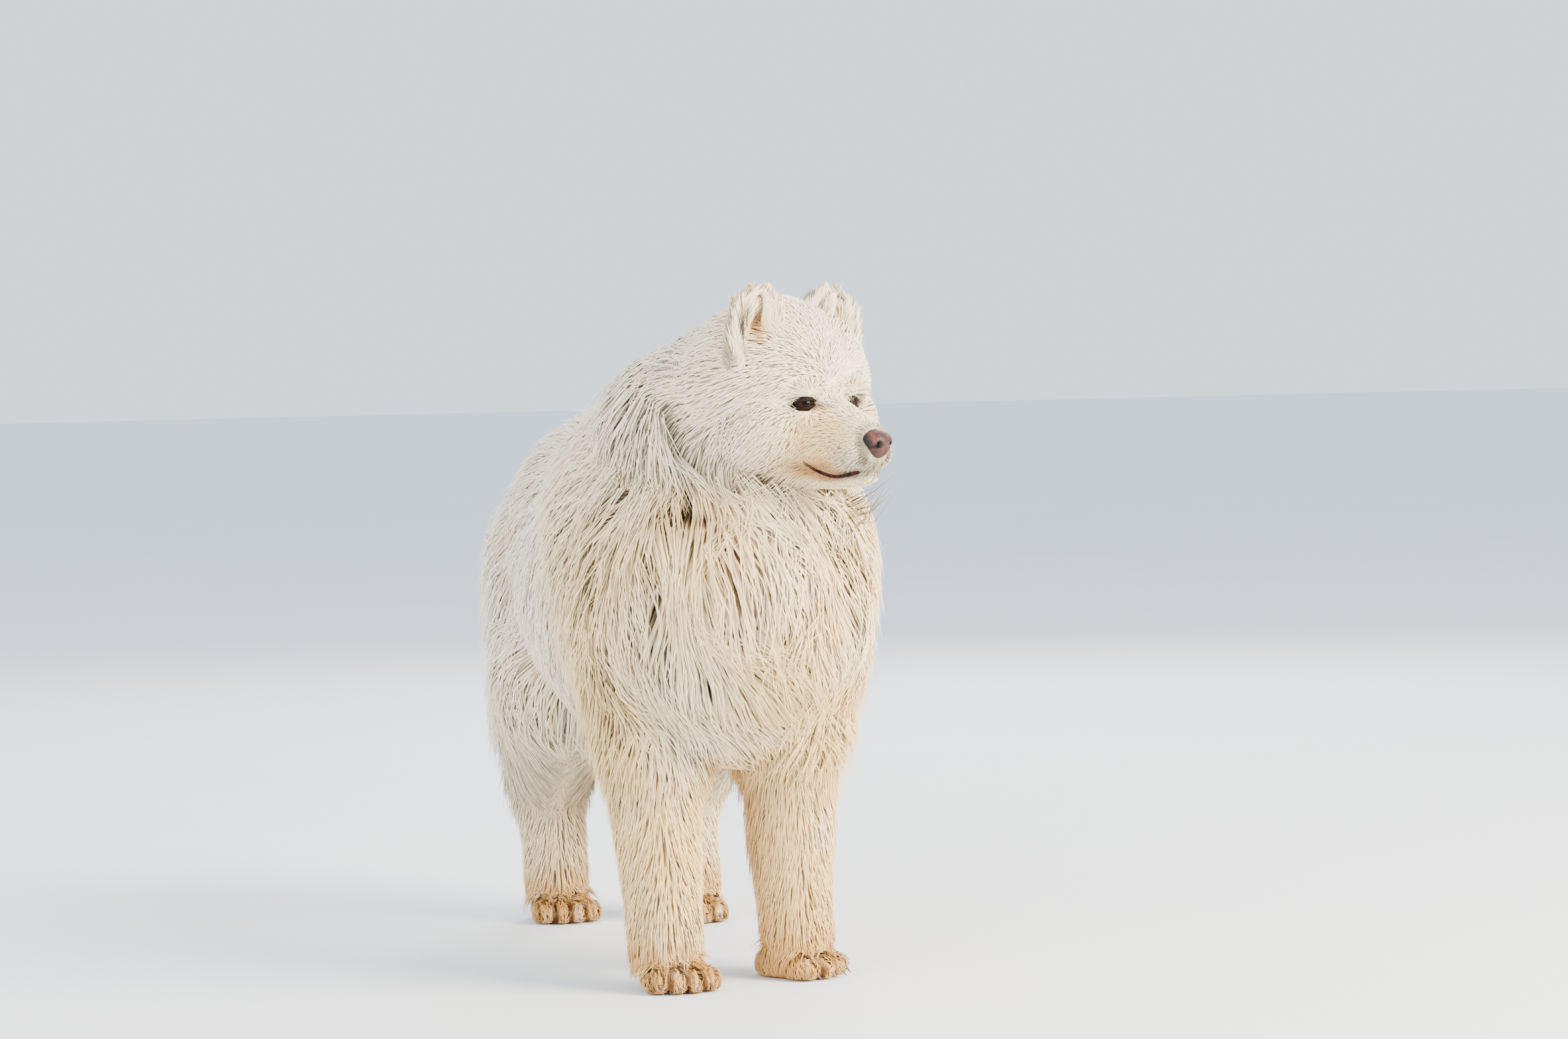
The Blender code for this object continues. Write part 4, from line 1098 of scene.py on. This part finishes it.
def nose_finish():
    paint = Paint(
        "nose", roughness=0.42, Specular_IOR_Level=0.30, Coat_Weight=0.12, Coat_Roughness=0.25
    )
    here = paint.place()
    cells = paint.node(
        "ShaderNodeTexVoronoi", {"feature": "DISTANCE_TO_EDGE"}, Vector=here, Scale=900.0
    )
    cloud = paint.noise(here, 140.0, 3.0)
    colour = paint.mixed(cloud.eased(0.35, 0.65), (0.050, 0.012, 0.008), (0.120, 0.032, 0.021))
    colour = paint.mixed((1 - cells.eased(0.0, 0.12)) * 0.7, colour, (0.018, 0.006, 0.004))
    axes = paint.head_axes(*paint.axes(here))
    # Painted shade in the nostrils and slits, and the pad's dark edge
    for centre, size in NOSTRIL_SHADE_AND_PAD_EDGE:
        colour = paint.mixed(patch_of(paint, axes, centre, size, 0.3), colour, (0.003, 0.002, 0.002))
    paint.feed("Base Color", colour)
    paint.bump(cells.eased(0.0, 0.25), 0.6, 0.0004)
    return paint.material


def clouded(name, roughness, tints, scale, detail, edges=None, relief=None, **constants):
    """Two tints in a cloud pattern, with a slight relief of the given strength and height."""
    paint = Paint(name, roughness, **constants)
    cloud = paint.noise(paint.place(), scale, detail)
    share = cloud.eased(*edges) if edges else cloud
    paint.feed("Base Color", paint.mixed(share, *tints))
    if relief:
        paint.bump(cloud, *relief)
    return paint.material


def lip_finish():
    tints = (0.008, 0.005, 0.004), (0.050, 0.014, 0.008)
    return clouded(
        "lips", 0.55, tints, 220.0, 3.0, (0.35, 0.70), (0.4, 0.0006), Specular_IOR_Level=0.10
    )


def rim_finish():
    tints = (0.005, 0.003, 0.003), (0.020, 0.009, 0.006)
    return clouded(
        "lid edge", 0.50, tints, 300.0, 2.0, relief=(0.3, 0.0003), Specular_IOR_Level=0.08
    )


def claw_finish():
    tints = (0.10, 0.065, 0.050), (0.24, 0.17, 0.13)
    return clouded("claw", 0.35, tints, 260.0, 3.0, (0.30, 0.70), (0.3, 0.0004))


def whisker_finish():
    tints = (0.05, 0.04, 0.035), (0.72, 0.68, 0.60)
    return clouded("whisker", 0.40, tints, 200.0, 1.0, (0.45, 0.55))


def buckle_finish():
    tints = (0.012, 0.012, 0.013), (0.051, 0.051, 0.0515)
    return clouded("buckle", 0.38, tints, 400.0, 4.0, (0.50, 0.75), (0.25, 0.0003))


def eye_finish():
    """Dark brown iris round a black pupil, under a wet gloss. The map holds rings."""
    paint = Paint(
        "eye", roughness=0.15, Specular_IOR_Level=0.06, Coat_Weight=0.07, Coat_Roughness=0.02
    )
    chart = paint.node("ShaderNodeUVMap", {"uv_map": "rings"})
    across, _, _ = paint.axes(chart)
    streaks = paint.noise(chart, 26.0, 2.0)
    iris = paint.mixed(streaks.eased(0.3, 0.7), (0.008, 0.003, 0.001), (0.026, 0.008, 0.002))
    colour = paint.mixed(across.eased(0.14, 0.17), (0.004, 0.003, 0.003), iris)
    colour = paint.mixed(across.eased(0.30, 0.36), colour, (0.006, 0.004, 0.004))
    paint.feed("Base Color", colour)
    return paint.material


def webbing_finish():
    """Flat woven strap: fine ribs across and along the band, dark and a little worn."""
    paint = Paint("webbing", roughness=0.75)
    chart = paint.node("ShaderNodeUVMap", {"uv_map": "weave"})
    ribs = paint.node(
        "ShaderNodeTexWave", {"bands_direction": "X"}, Vector=chart, Scale=60.0, Distortion=0.4
    )
    rows_of = paint.node(
        "ShaderNodeTexWave", {"bands_direction": "Y"}, Vector=chart, Scale=4.0, Distortion=0.4
    )
    weave = ribs * rows_of
    wear = paint.noise(paint.place(), 90.0, 3.0)
    colour = paint.mixed(weave.eased(0.1, 0.8), (0.010, 0.011, 0.010), (0.045, 0.047, 0.040))
    colour = paint.mixed(wear.eased(0.55, 0.8) * 0.4, colour, (0.12, 0.10, 0.08))
    paint.feed("Base Color", colour)
    paint.bump(weave, 0.6, 0.0006)
    return paint.material


def floor_finish():
    paint = Paint("floor", roughness=0.9)
    here = paint.node("ShaderNodeTexCoord", out="Object")
    cloud = paint.noise(here, 1.5, 4.0)
    paint.feed("Base Color", paint.mixed(cloud, (0.74, 0.78, 0.84), (0.80, 0.84, 0.89)))
    paint.bump(paint.noise(here, 60.0, 3.0), 0.15, 0.004)
    return paint.material


# Skin and coat

dice = np.random.default_rng(SEED)
skin = piece_from(skin_form(), "skin", skin_finish())
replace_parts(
    skin, "head", "neck", "torso", "tail", "leg_front_left", "leg_front_right",
    "leg_hind_left", "leg_hind_right",
)
chart = Chart(skin)
places, index = corner_arrays(skin.data)
places = places - np.array(SHIFT)
body = Surface(places, index)
hair = coat_finish()


def round_eye(points, side, wide, high):
    """Distance from the middle of an eye, 1 at its edge, and distances in front and in all."""
    centre, outward, sideways, above = (np.array(v) for v in eye_axes(side))
    away = points - centre
    ring = np.hypot(
        away @ sideways / (EYE_HALF_OPEN[0] * wide), away @ above / (EYE_HALF_OPEN[1] * high)
    )
    return ring, away @ outward, np.linalg.norm(away, axis=-1)


def on_nose(points, grow):
    left, forward, up = head_axes(points)
    apart = rows(np.abs(left), forward, up) - np.array(NOSE_CENTRE)
    return np.sum((apart / (np.array(NOSE_SIZE) * grow)) ** 2, axis=1) < 1


def bare(roots):
    """Roots that carry no hair: eyes, nose and soles."""
    none = (roots[:, 2] < SOLE_HEIGHT) | on_nose(roots, 1.02)
    for side in (-1, 1):
        ring, ahead, distance = round_eye(roots, side, 1.15, 1.15)
        none |= (ring < 1) & (ahead > -0.004) & (distance < 0.03)
    return none


def blocks_view(path):
    """Tufts that would hang over an eye, the nose or the parting at the collar."""
    outer = path[:, 1:]
    over = on_nose(outer.reshape(-1, 3), 1.05).reshape(len(path), -1).any(axis=1)
    for side in (-1, 1):
        ring, ahead, _ = round_eye(outer, side, 0.98, 1.0)
        over |= ((ring < 1) & (ahead > 0.004) & (ahead < 0.04)).any(axis=1)
    away = outer - PARTING
    depth = away @ PARTING_WAY
    beside = np.linalg.norm(away - depth[:, :, None] * PARTING_WAY, axis=2)
    return over | ((beside < 0.0105 + 0.04 * np.maximum(depth, 0)) & (depth > -0.01)).any(axis=1)


def spacing_over(points, normals):
    return coat_of(points, normals)[3]


roots, normals = scattered(places, index, spacing_over, dice)
kept = ~bare(roots)
roots, normals = roots[kept], normals[kept]
_, normals = body.under(roots + normals * 0.0005)
length, height, width, _ = coat_of(roots, normals)
ways = lie_of(roots, normals)
uneven = dice.uniform(0.84, 1.12, len(roots))
layer = np.where(dice.random(len(roots)) < 0.7, 1.0, dice.uniform(0.78, 1.0, len(roots)))
length, height = length * uneven, height * (0.55 + 0.45 * uneven) * layer
steps_of = np.where(length < LONG_HAIR, 2, 3)
number = 0
for steps in (2, 3):
    some = np.flatnonzero(steps_of == steps)
    some = some[np.argsort(roots[some, 1], kind="stable")]
    path, outs = hair_paths(
        body, roots[some], normals[some], ways[some], length[some], height[some], steps
    )
    drawn = 0.08 + 0.10 * ease(length[some], 0.015, 0.070)
    path = gathered(path, roots[some], 0.060, drawn, dice)
    stray = dice.normal(size=(len(some), 3)) * (length[some] * 0.035)[:, None]
    path[:, -1] += stray
    path[:, -2] += stray * 0.35
    path[:, 1:, 2] = np.maximum(path[:, 1:, 2], LOWEST_TIP)
    spans = np.linalg.norm(np.diff(path, axis=1), axis=2).sum(axis=1)
    clear = ~blocks_view(path) & (spans < 1.35 * (length[some] + height[some]))
    clear &= np.sum(outs[:, 0] * outs[:, -1], axis=1) > 0.36
    some, path, outs = some[clear], path[clear], outs[clear]
    patches = chart.at(roots[some])
    tones = dice.random(len(some))
    most = TRIANGLES_A_PIECE // (6 * steps - 2)
    for first in range(0, len(some), most):
        part = slice(first, first + most)
        number += 1
        coat_piece(
            f"coat_{number:02d}", path[part], outs[part], width[some[part]], patches[part],
            tones[part],
        )


# Ears


def ear_frame(side):
    """Root, axis to the tip, facing and across of an ear."""
    root = on_side(side, EAR_ROOT)
    axis = on_side(side, EAR_TIP) - root
    across = axis.normalized().cross(way_in_head(EAR_FACING[side], 0.99, 0.0)).normalized()
    return root, axis, across.cross(axis.normalized()), across


def ear(side, name):
    """A pointed cup: a grid bent to the ear's outline and given its wall."""
    root, axis, facing, across = ear_frame(side)
    bm = bmesh.new()
    bmesh.ops.create_grid(bm, x_segments=16, y_segments=20, size=1.0)
    for vert in bm.verts:
        column = vert.co.x
        share = -0.30 + 1.30 * (vert.co.y + 1) / 2
        up_share = max(share, 0.0)
        wide = EAR_HALF_WIDTH * math.sqrt(max(1.045 - up_share ** 2.3, 0.0))
        wide *= 1 + 1.9 * min(share, 0.0)
        hollow = EAR_CUP * (1 - 0.75 * up_share)
        lean = 0.004 * math.sin(math.pi * up_share) * column
        vert.co = (
            root + axis * share + across * (wide * column) + facing * (hollow * column ** 2 + lean)
        )
    bmesh.ops.recalc_face_normals(bm, faces=bm.faces)
    bmesh.ops.solidify(bm, geom=list(bm.faces), thickness=EAR_WALL)
    bmesh.ops.recalc_face_normals(bm, faces=bm.faces)
    item = piece_from(bm, name, ear_skin)
    rounded_off(item)
    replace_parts(item, name)
    return item


def ear_coat(side, item, name):
    """Soft hair over the back and rim of an ear, and wisps across its cup."""
    root, axis, facing, across = (np.array(v) for v in ear_frame(side))
    tall = np.linalg.norm(axis)
    places, index = corner_arrays(item.data)
    roots, normals = scattered(
        places - np.array(SHIFT), index, lambda points, outs: np.full(len(points), 0.00125), dice
    )
    share = (roots - root) @ axis / tall ** 2
    column = (roots - root) @ across / EAR_HALF_WIDTH
    keep = share > -0.12
    roots, normals, share, column = roots[keep], normals[keep], share[keep], column[keep]
    inner = ease(normals @ facing, 0.0, 0.4) * (1 - ease(np.abs(column), 0.55, 0.85))
    outward = np.sign(column)[:, None] * across * (np.abs(column) ** 1.5)[:, None]
    ways = axis / tall + outward * 0.25 + waves(roots, 0.03, 21) * 0.25
    from_edge = np.clip((column * side + 0.3) / 0.9, 0, 1)[:, None] * -side * across
    ways = ways * (1 - inner[:, None]) + (axis / tall * 0.7 + from_edge * 1.2) * inner[:, None]
    ways = unit(ways - normals * np.sum(ways * normals, axis=1)[:, None])
    tip = ease(share, 0.55, 1.0)
    length = (0.027 - 0.016 * tip) * dice.uniform(0.75, 1.15, len(roots))
    height = (0.0095 - 0.0055 * tip) * (1 + 0.9 * inner) * dice.uniform(0.6, 1.2, len(roots))
    widths = 0.0010 + 0.0005 * (1 - tip)
    path = [roots - normals * 0.0008]
    for part in (0.5, 1.0):
        rise = height * (1 - (1 - part) ** 1.7)
        path.append(roots + ways * (length * part)[:, None] + normals * rise[:, None])
    path = np.stack(path, axis=1)
    path = gathered(path, roots, 0.05, 0.12, dice)
    outs = unit(normals * 0.6 + np.array((0.10, -0.25, 0.55)))
    outs = np.repeat(outs[:, None], 3, axis=1)
    coat_piece(name, path, outs, widths, chart.at(roots), dice.random(len(roots)))


ear_skin = ear_finish()
for side, word in ((-1, "right"), (1, "left")):
    ear_coat(side, ear(side, "ear_" + word), "coat_ear_" + word)

# Eyes, lids, nose, lips, whiskers and claws


def eyeball(side, name):
    """A ball whose pole looks out of the head. Its rings are mapped from pole to pole."""
    centre, outward, sideways, up = eye_axes(side)
    bm = bmesh.new()
    matrix = Matrix.Translation(centre) @ turned(sideways, up, outward)
    bmesh.ops.create_uvsphere(
        bm, u_segments=48, v_segments=32, radius=EYE_RADIUS, matrix=matrix
    )
    rings = bm.loops.layers.uv.new("rings")
    for face in bm.faces:
        for loop in face.loops:
            away = (loop.vert.co - centre) / EYE_RADIUS
            loop[rings].uv = (
                math.acos(max(-1.0, min(1.0, away.dot(outward)))) / math.pi * 2.0,
                math.atan2(away.dot(up), away.dot(sideways)) / math.tau,
            )
    for vert in bm.verts:
        away = vert.co - centre
        front = max(away.dot(outward) / EYE_RADIUS - 0.72, 0.0)
        vert.co += outward * front * 0.0022
    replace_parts(piece_from(bm, name + "_ball", eye_ball), name)


def lid(side, rise, reach, name):
    """One lid: a band that hugs the ball from the edge of the opening outwards."""
    centre, outward, sideways, up = eye_axes(side)
    bm = bmesh.new()
    bmesh.ops.create_grid(bm, x_segments=24, y_segments=8, size=1.0)
    for vert in bm.verts:
        share = (vert.co.x + 1) / 2
        away = (vert.co.y + 1) / 2
        turn = math.radians(74) * vert.co.x
        edge = rise * math.sin(math.pi * share) ** 0.8
        height = edge + (reach - rise) * away
        flat = outward * math.cos(turn) + sideways * math.sin(turn)
        lift = EYE_RADIUS + 0.0011 + 0.0010 * math.sin(math.pi * min(away * 1.4, 1.0))
        vert.co = centre + (flat * math.cos(height) + up * math.sin(height)) * lift
    bmesh.ops.recalc_face_normals(bm, faces=bm.faces)
    middle = sum((face.calc_center_median() - centre).dot(face.normal) for face in bm.faces)
    if middle < 0:
        bmesh.ops.reverse_faces(bm, faces=bm.faces)
    bmesh.ops.solidify(bm, geom=list(bm.faces), thickness=0.0012)
    bmesh.ops.recalc_face_normals(bm, faces=bm.faces)
    rounded_off(piece_from(bm, name, lid_edge))


def nose():
    """The bare pad: broad above, with two comma nostrils and a groove below."""
    centre = in_head(*NOSE_CENTRE)
    bm = bmesh.new()
    matrix = Matrix.Translation(centre) @ TURN.to_4x4() @ Matrix.Diagonal((*NOSE_SIZE, 1.0))
    bmesh.ops.create_uvsphere(bm, u_segments=64, v_segments=48, radius=1.0, matrix=matrix)
    back = TURN.transposed()
    for vert in bm.verts:
        local = back @ (vert.co - centre)
        left, forward, up = local.x, -local.y, local.z
        local.x *= 1.0 + 0.16 * math.tanh(up / 0.006) - 0.06
        local.y += 0.0022 * max(0.0, up / NOSE_SIZE[2]) ** 2
        gap = math.hypot((abs(left) - 0.0082) / 0.0030, (up + 0.0012) / 0.0036)
        slit = math.hypot((abs(left) - 0.0122) / 0.0042, (up + 0.0030) / 0.0014)
        if forward > 0:
            local.y += 0.0075 * max(0.0, 1 - gap) ** 0.6
            local.y += 0.0040 * max(0.0, 1 - slit) ** 0.6
            groove = max(0.0, 1 - abs(left) / 0.0011) * max(0.0, min(1.0, -up / 0.004))
            local.y += 0.0016 * groove
        vert.co = centre + TURN @ local
    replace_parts(piece_from(bm, "nose_pad", nose_finish()), "nose")


def mouth_points(rise):
    """The line of the mouth from one corner round the front to the other."""
    half = [Vector((a, f, u + rise)) for a, f, u in MOUTH_LINE]
    whole = half + [Vector((-a.x, a.y, a.z)) for a in reversed(half[:-1])]
    fine = []
    for place in range(len(whole) - 1):
        a = whole[max(place - 1, 0)]
        b, c = whole[place], whole[place + 1]
        d = whole[min(place + 2, len(whole) - 1)]
        for step in range(5):
            t = step / 5
            fine.append(
                0.5 * (2 * b + (c - a) * t + (2 * a - 5 * b + 4 * c - d) * t ** 2
                       + (3 * b - a - 3 * c + d) * t ** 3)
            )
    fine.append(whole[-1])
    return fine


def lips():
    """Two soft dark rolls that meet along the line of the mouth."""
    parts = []
    for rise, thick in ((0.0008, 0.0013), (-0.0009, 0.0011)):
        points = mouth_points(rise)
        last = len(points) - 1
        stations = []
        for place, point in enumerate(points):
            along = points[min(place + 1, last)] - points[max(place - 1, 0)]
            along = (in_head(*along) - in_head(0, 0, 0)).normalized()
            up = (Vector((0, 0, 1)) - along * along.z).normalized()
            end = math.sin(math.pi * min(max(place / last, 0.02), 0.98))
            front = abs(place / last - 0.5) * 2
            size = thick * min(1.0, 0.35 + 1.6 * end) * (0.55 + 0.45 * min(front * 2.5, 1.0))
            stations.append((in_head(*point), up.cross(along), up, size, size * 0.8))
        parts.append(lambda bm, rows_of=stations: sleeve(bm, rows_of, 10))
    piece_from(joined(parts), "lips", lip_finish())


def cone(bm, points, radius):
    """A fine tapered stalk along points."""
    stations = []
    for place, point in enumerate(points):
        along = (points[min(place + 1, len(points) - 1)] - points[max(place - 1, 0)]).normalized()
        across = along.orthogonal().normalized()
        size = radius * (1 - 0.9 * place / (len(points) - 1))
        stations.append((point, across, along.cross(across), size, size))
    sleeve(bm, stations, 5)


def whiskers():
    draw = np.random.default_rng(5)
    parts = []
    for side in (-1, 1):
        for row in range(3):
            for column in range(5):
                start = in_head(
                    side * (0.0265 + 0.0008 * row - 0.0022 * max(column - 2, 0)),
                    0.014 + 0.0085 * column, -0.040 - 0.0085 * row,
                )
                out = way_in_head(
                    side * (1.0 + 0.2 * draw.random()), 0.15 - 0.25 * row + 0.1 * draw.random(),
                    -0.30 + 0.15 * draw.random(),
                )
                long = 0.010 + 0.008 * draw.random()
                points = [
                    start + out * long * share + Vector((0, 0, -0.004)) * share ** 2
                    for share in (-0.12, 0.3, 0.65, 1.0)
                ]
                parts.append(lambda bm, line=points: cone(bm, line, 0.00024))
    piece_from(joined(parts), "whiskers", whisker_finish())


def claws():
    parts = []
    for row in paws():
        spin = paw_axes(*row)
        for toe in range(4):
            start = toe_at((toe - 1.5) / 1.5)
            points = []
            for part in (0.0, 0.35, 0.7, 1.0):
                bend = Vector((0.0, -0.010 - 0.0155 * part, 0.001 - 0.0095 * part ** 1.6))
                points.append(spin @ (start + bend))
            parts.append(lambda bm, line=points: cone(bm, line, 0.0034))
    piece_from(joined(parts), "claws", claw_finish())


eye_ball = eye_finish()
lid_edge = rim_finish()
for side, word in ((-1, "right"), (1, "left")):
    eyeball(side, "eye_" + word)
    lid(side, math.radians(10.5), math.radians(29), "lid_upper_" + word)
    lid(side, math.radians(-9.5), math.radians(-26), "lid_lower_" + word)
nose()
lips()
whiskers()
claws()

# Collar


def strap():
    """A flat woven band on the line of its solid ring."""
    node = frame["nodes"]["collar"]
    points = np.array([vert.co[:] for vert in node.data.vertices]) - np.array(SHIFT)
    away = points - np.array(COLLAR_CENTRE)
    across = Vector((1, 0, 0)) - COLLAR_AXIS * COLLAR_AXIS.x
    across.normalize()
    beside = COLLAR_AXIS.cross(across).normalized()
    a, b = away @ np.array(across), away @ np.array(beside)
    half_wall = 0.0019
    reach = (a.max() - a.min()) / 2 - half_wall, (b.max() - b.min()) / 2 - half_wall
    middle = COLLAR_CENTRE + across * (a.max() + a.min()) / 2 + beside * (b.max() + b.min()) / 2
    bm = bmesh.new()
    matrix = Matrix.Translation(middle - COLLAR_AXIS * COLLAR_HEIGHT / 2)
    matrix = matrix @ turned(across, beside, COLLAR_AXIS) @ Matrix.Diagonal((*reach, 1.0, 1.0))
    ring = bmesh.ops.create_circle(bm, cap_ends=False, segments=128, radius=1.0, matrix=matrix)
    edges = list({edge for vert in ring["verts"] for edge in vert.link_edges})
    bands = 6
    for _ in range(bands):
        raised = bmesh.ops.extrude_edge_only(bm, edges=edges)["geom"]
        verts = [part for part in raised if isinstance(part, bmesh.types.BMVert)]
        edges = [part for part in raised if isinstance(part, bmesh.types.BMEdge)]
        bmesh.ops.translate(bm, verts=verts, vec=COLLAR_AXIS * (COLLAR_HEIGHT / bands))
    bmesh.ops.recalc_face_normals(bm, faces=bm.faces)
    weave = bm.loops.layers.uv.new("weave")
    for face in bm.faces:
        outs = [loop.vert.co - middle for loop in face.loops]
        angles = [math.atan2(out.dot(beside), out.dot(across)) for out in outs]
        for loop, out, angle in zip(face.loops, outs, angles):
            if max(angles) - angle > math.pi:
                angle += math.tau
            high = out.dot(COLLAR_AXIS) / COLLAR_HEIGHT + 0.5
            loop[weave].uv = (angle / math.tau * 6.0, high)
    item = piece_from(bm, "collar_strap", webbing_finish())
    wall = item.modifiers.new("wall", "SOLIDIFY")
    wall.thickness = COLLAR_WALL
    wall.offset = 0.0
    edge = item.modifiers.new("edge", "BEVEL")
    edge.width = 0.0008
    edge.segments = 2
    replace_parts(item, "collar")


def buckle():
    """A side-release clip: a rounded body with a raised middle and two side arms."""
    low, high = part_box("collar_buckle")
    middle = (low + high) / 2 - SHIFT
    outward = middle - COLLAR_CENTRE
    outward = (outward - COLLAR_AXIS * outward.dot(COLLAR_AXIS)).normalized()
    along = COLLAR_AXIS.cross(outward).normalized()
    turn = turned(along, outward, COLLAR_AXIS)
    parts = []
    for place, size in (
        ((0.0, 0.0, 0.0), (0.022, 0.0062, 0.028)),
        ((0.0, 0.0024, 0.0), (0.011, 0.0040, 0.018)),
        ((-0.0125, 0.0, 0.0), (0.0045, 0.0070, 0.030)),
        ((0.0125, 0.0, 0.0), (0.0045, 0.0070, 0.030)),
    ):
        def form(bm, place=place, size=size):
            matrix = Matrix.Translation(middle) @ turn @ Matrix.Translation(place)
            matrix = matrix @ Matrix.Diagonal((*size, 1.0))
            bmesh.ops.create_cube(bm, size=1.0, matrix=matrix)
            bmesh.ops.bevel(
                bm, geom=list(bm.edges), offset=0.0012, segments=3, profile=0.5,
                affect="EDGES", material=-1,
            )
        parts.append(form)
    item = piece_from(joined(parts), "collar_clip", buckle_finish(), smooth=False)
    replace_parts(item, "collar_buckle")


strap()
buckle()

# Floor, light and camera

bm = bmesh.new()
bmesh.ops.create_grid(bm, x_segments=1, y_segments=1, size=150.0)
ground = object_from(bm, "floor")
ground.data.materials.append(floor_finish())


def lamp(name, place, aim, size, power, colour):
    light = bpy.data.lights.new(name, "AREA")
    light.size = size
    light.energy = power
    light.color = colour
    item = bpy.data.objects.new(name, light)
    bpy.context.scene.collection.objects.link(item)
    item.location = place
    item.rotation_euler = (Vector(aim) - Vector(place)).to_track_quat("-Z", "Y").to_euler()


lamp("key", (3.0, -2.8, 2.6), (0.0, -0.1, 0.4), 2.6, 820.0, (1.0, 0.87, 0.68))
lamp("fill", (-3.4, -2.4, 2.2), (0.0, 0.0, 0.4), 3.4, 210.0, (1.0, 0.95, 0.86))
lamp("rim", (1.5, 3.4, 2.6), (0.0, 0.0, 0.5), 2.0, 150.0, (1.0, 0.97, 0.92))

world = bpy.data.worlds.new("pale room")
bpy.context.scene.world = world
world.use_nodes = True
back = world.node_tree.nodes["Background"]
back.inputs["Color"].default_value = (0.82, 0.90, 1.0, 1.0)
back.inputs["Strength"].default_value = 1.7

# The camera stands where the photo's camera stood
lens = bpy.data.cameras.new("view")
lens.lens = 85.0
lens.sensor_width = 36.0
lens.clip_end = 400.0
camera = bpy.data.objects.new("view", lens)
bpy.context.scene.collection.objects.link(camera)
across = Vector((0.96412392, -0.26454133, -0.02197627))
above = Vector((0.03031559, 0.02748197, 0.9991625))
ahead = Vector((0.26371582, 0.96398269, -0.03451576))
place = Vector((-0.9456, -3.9152, 0.61)) + SHIFT
camera.matrix_world = Matrix.Translation(place) @ turned(across, above, -ahead)
bpy.context.scene.camera = camera
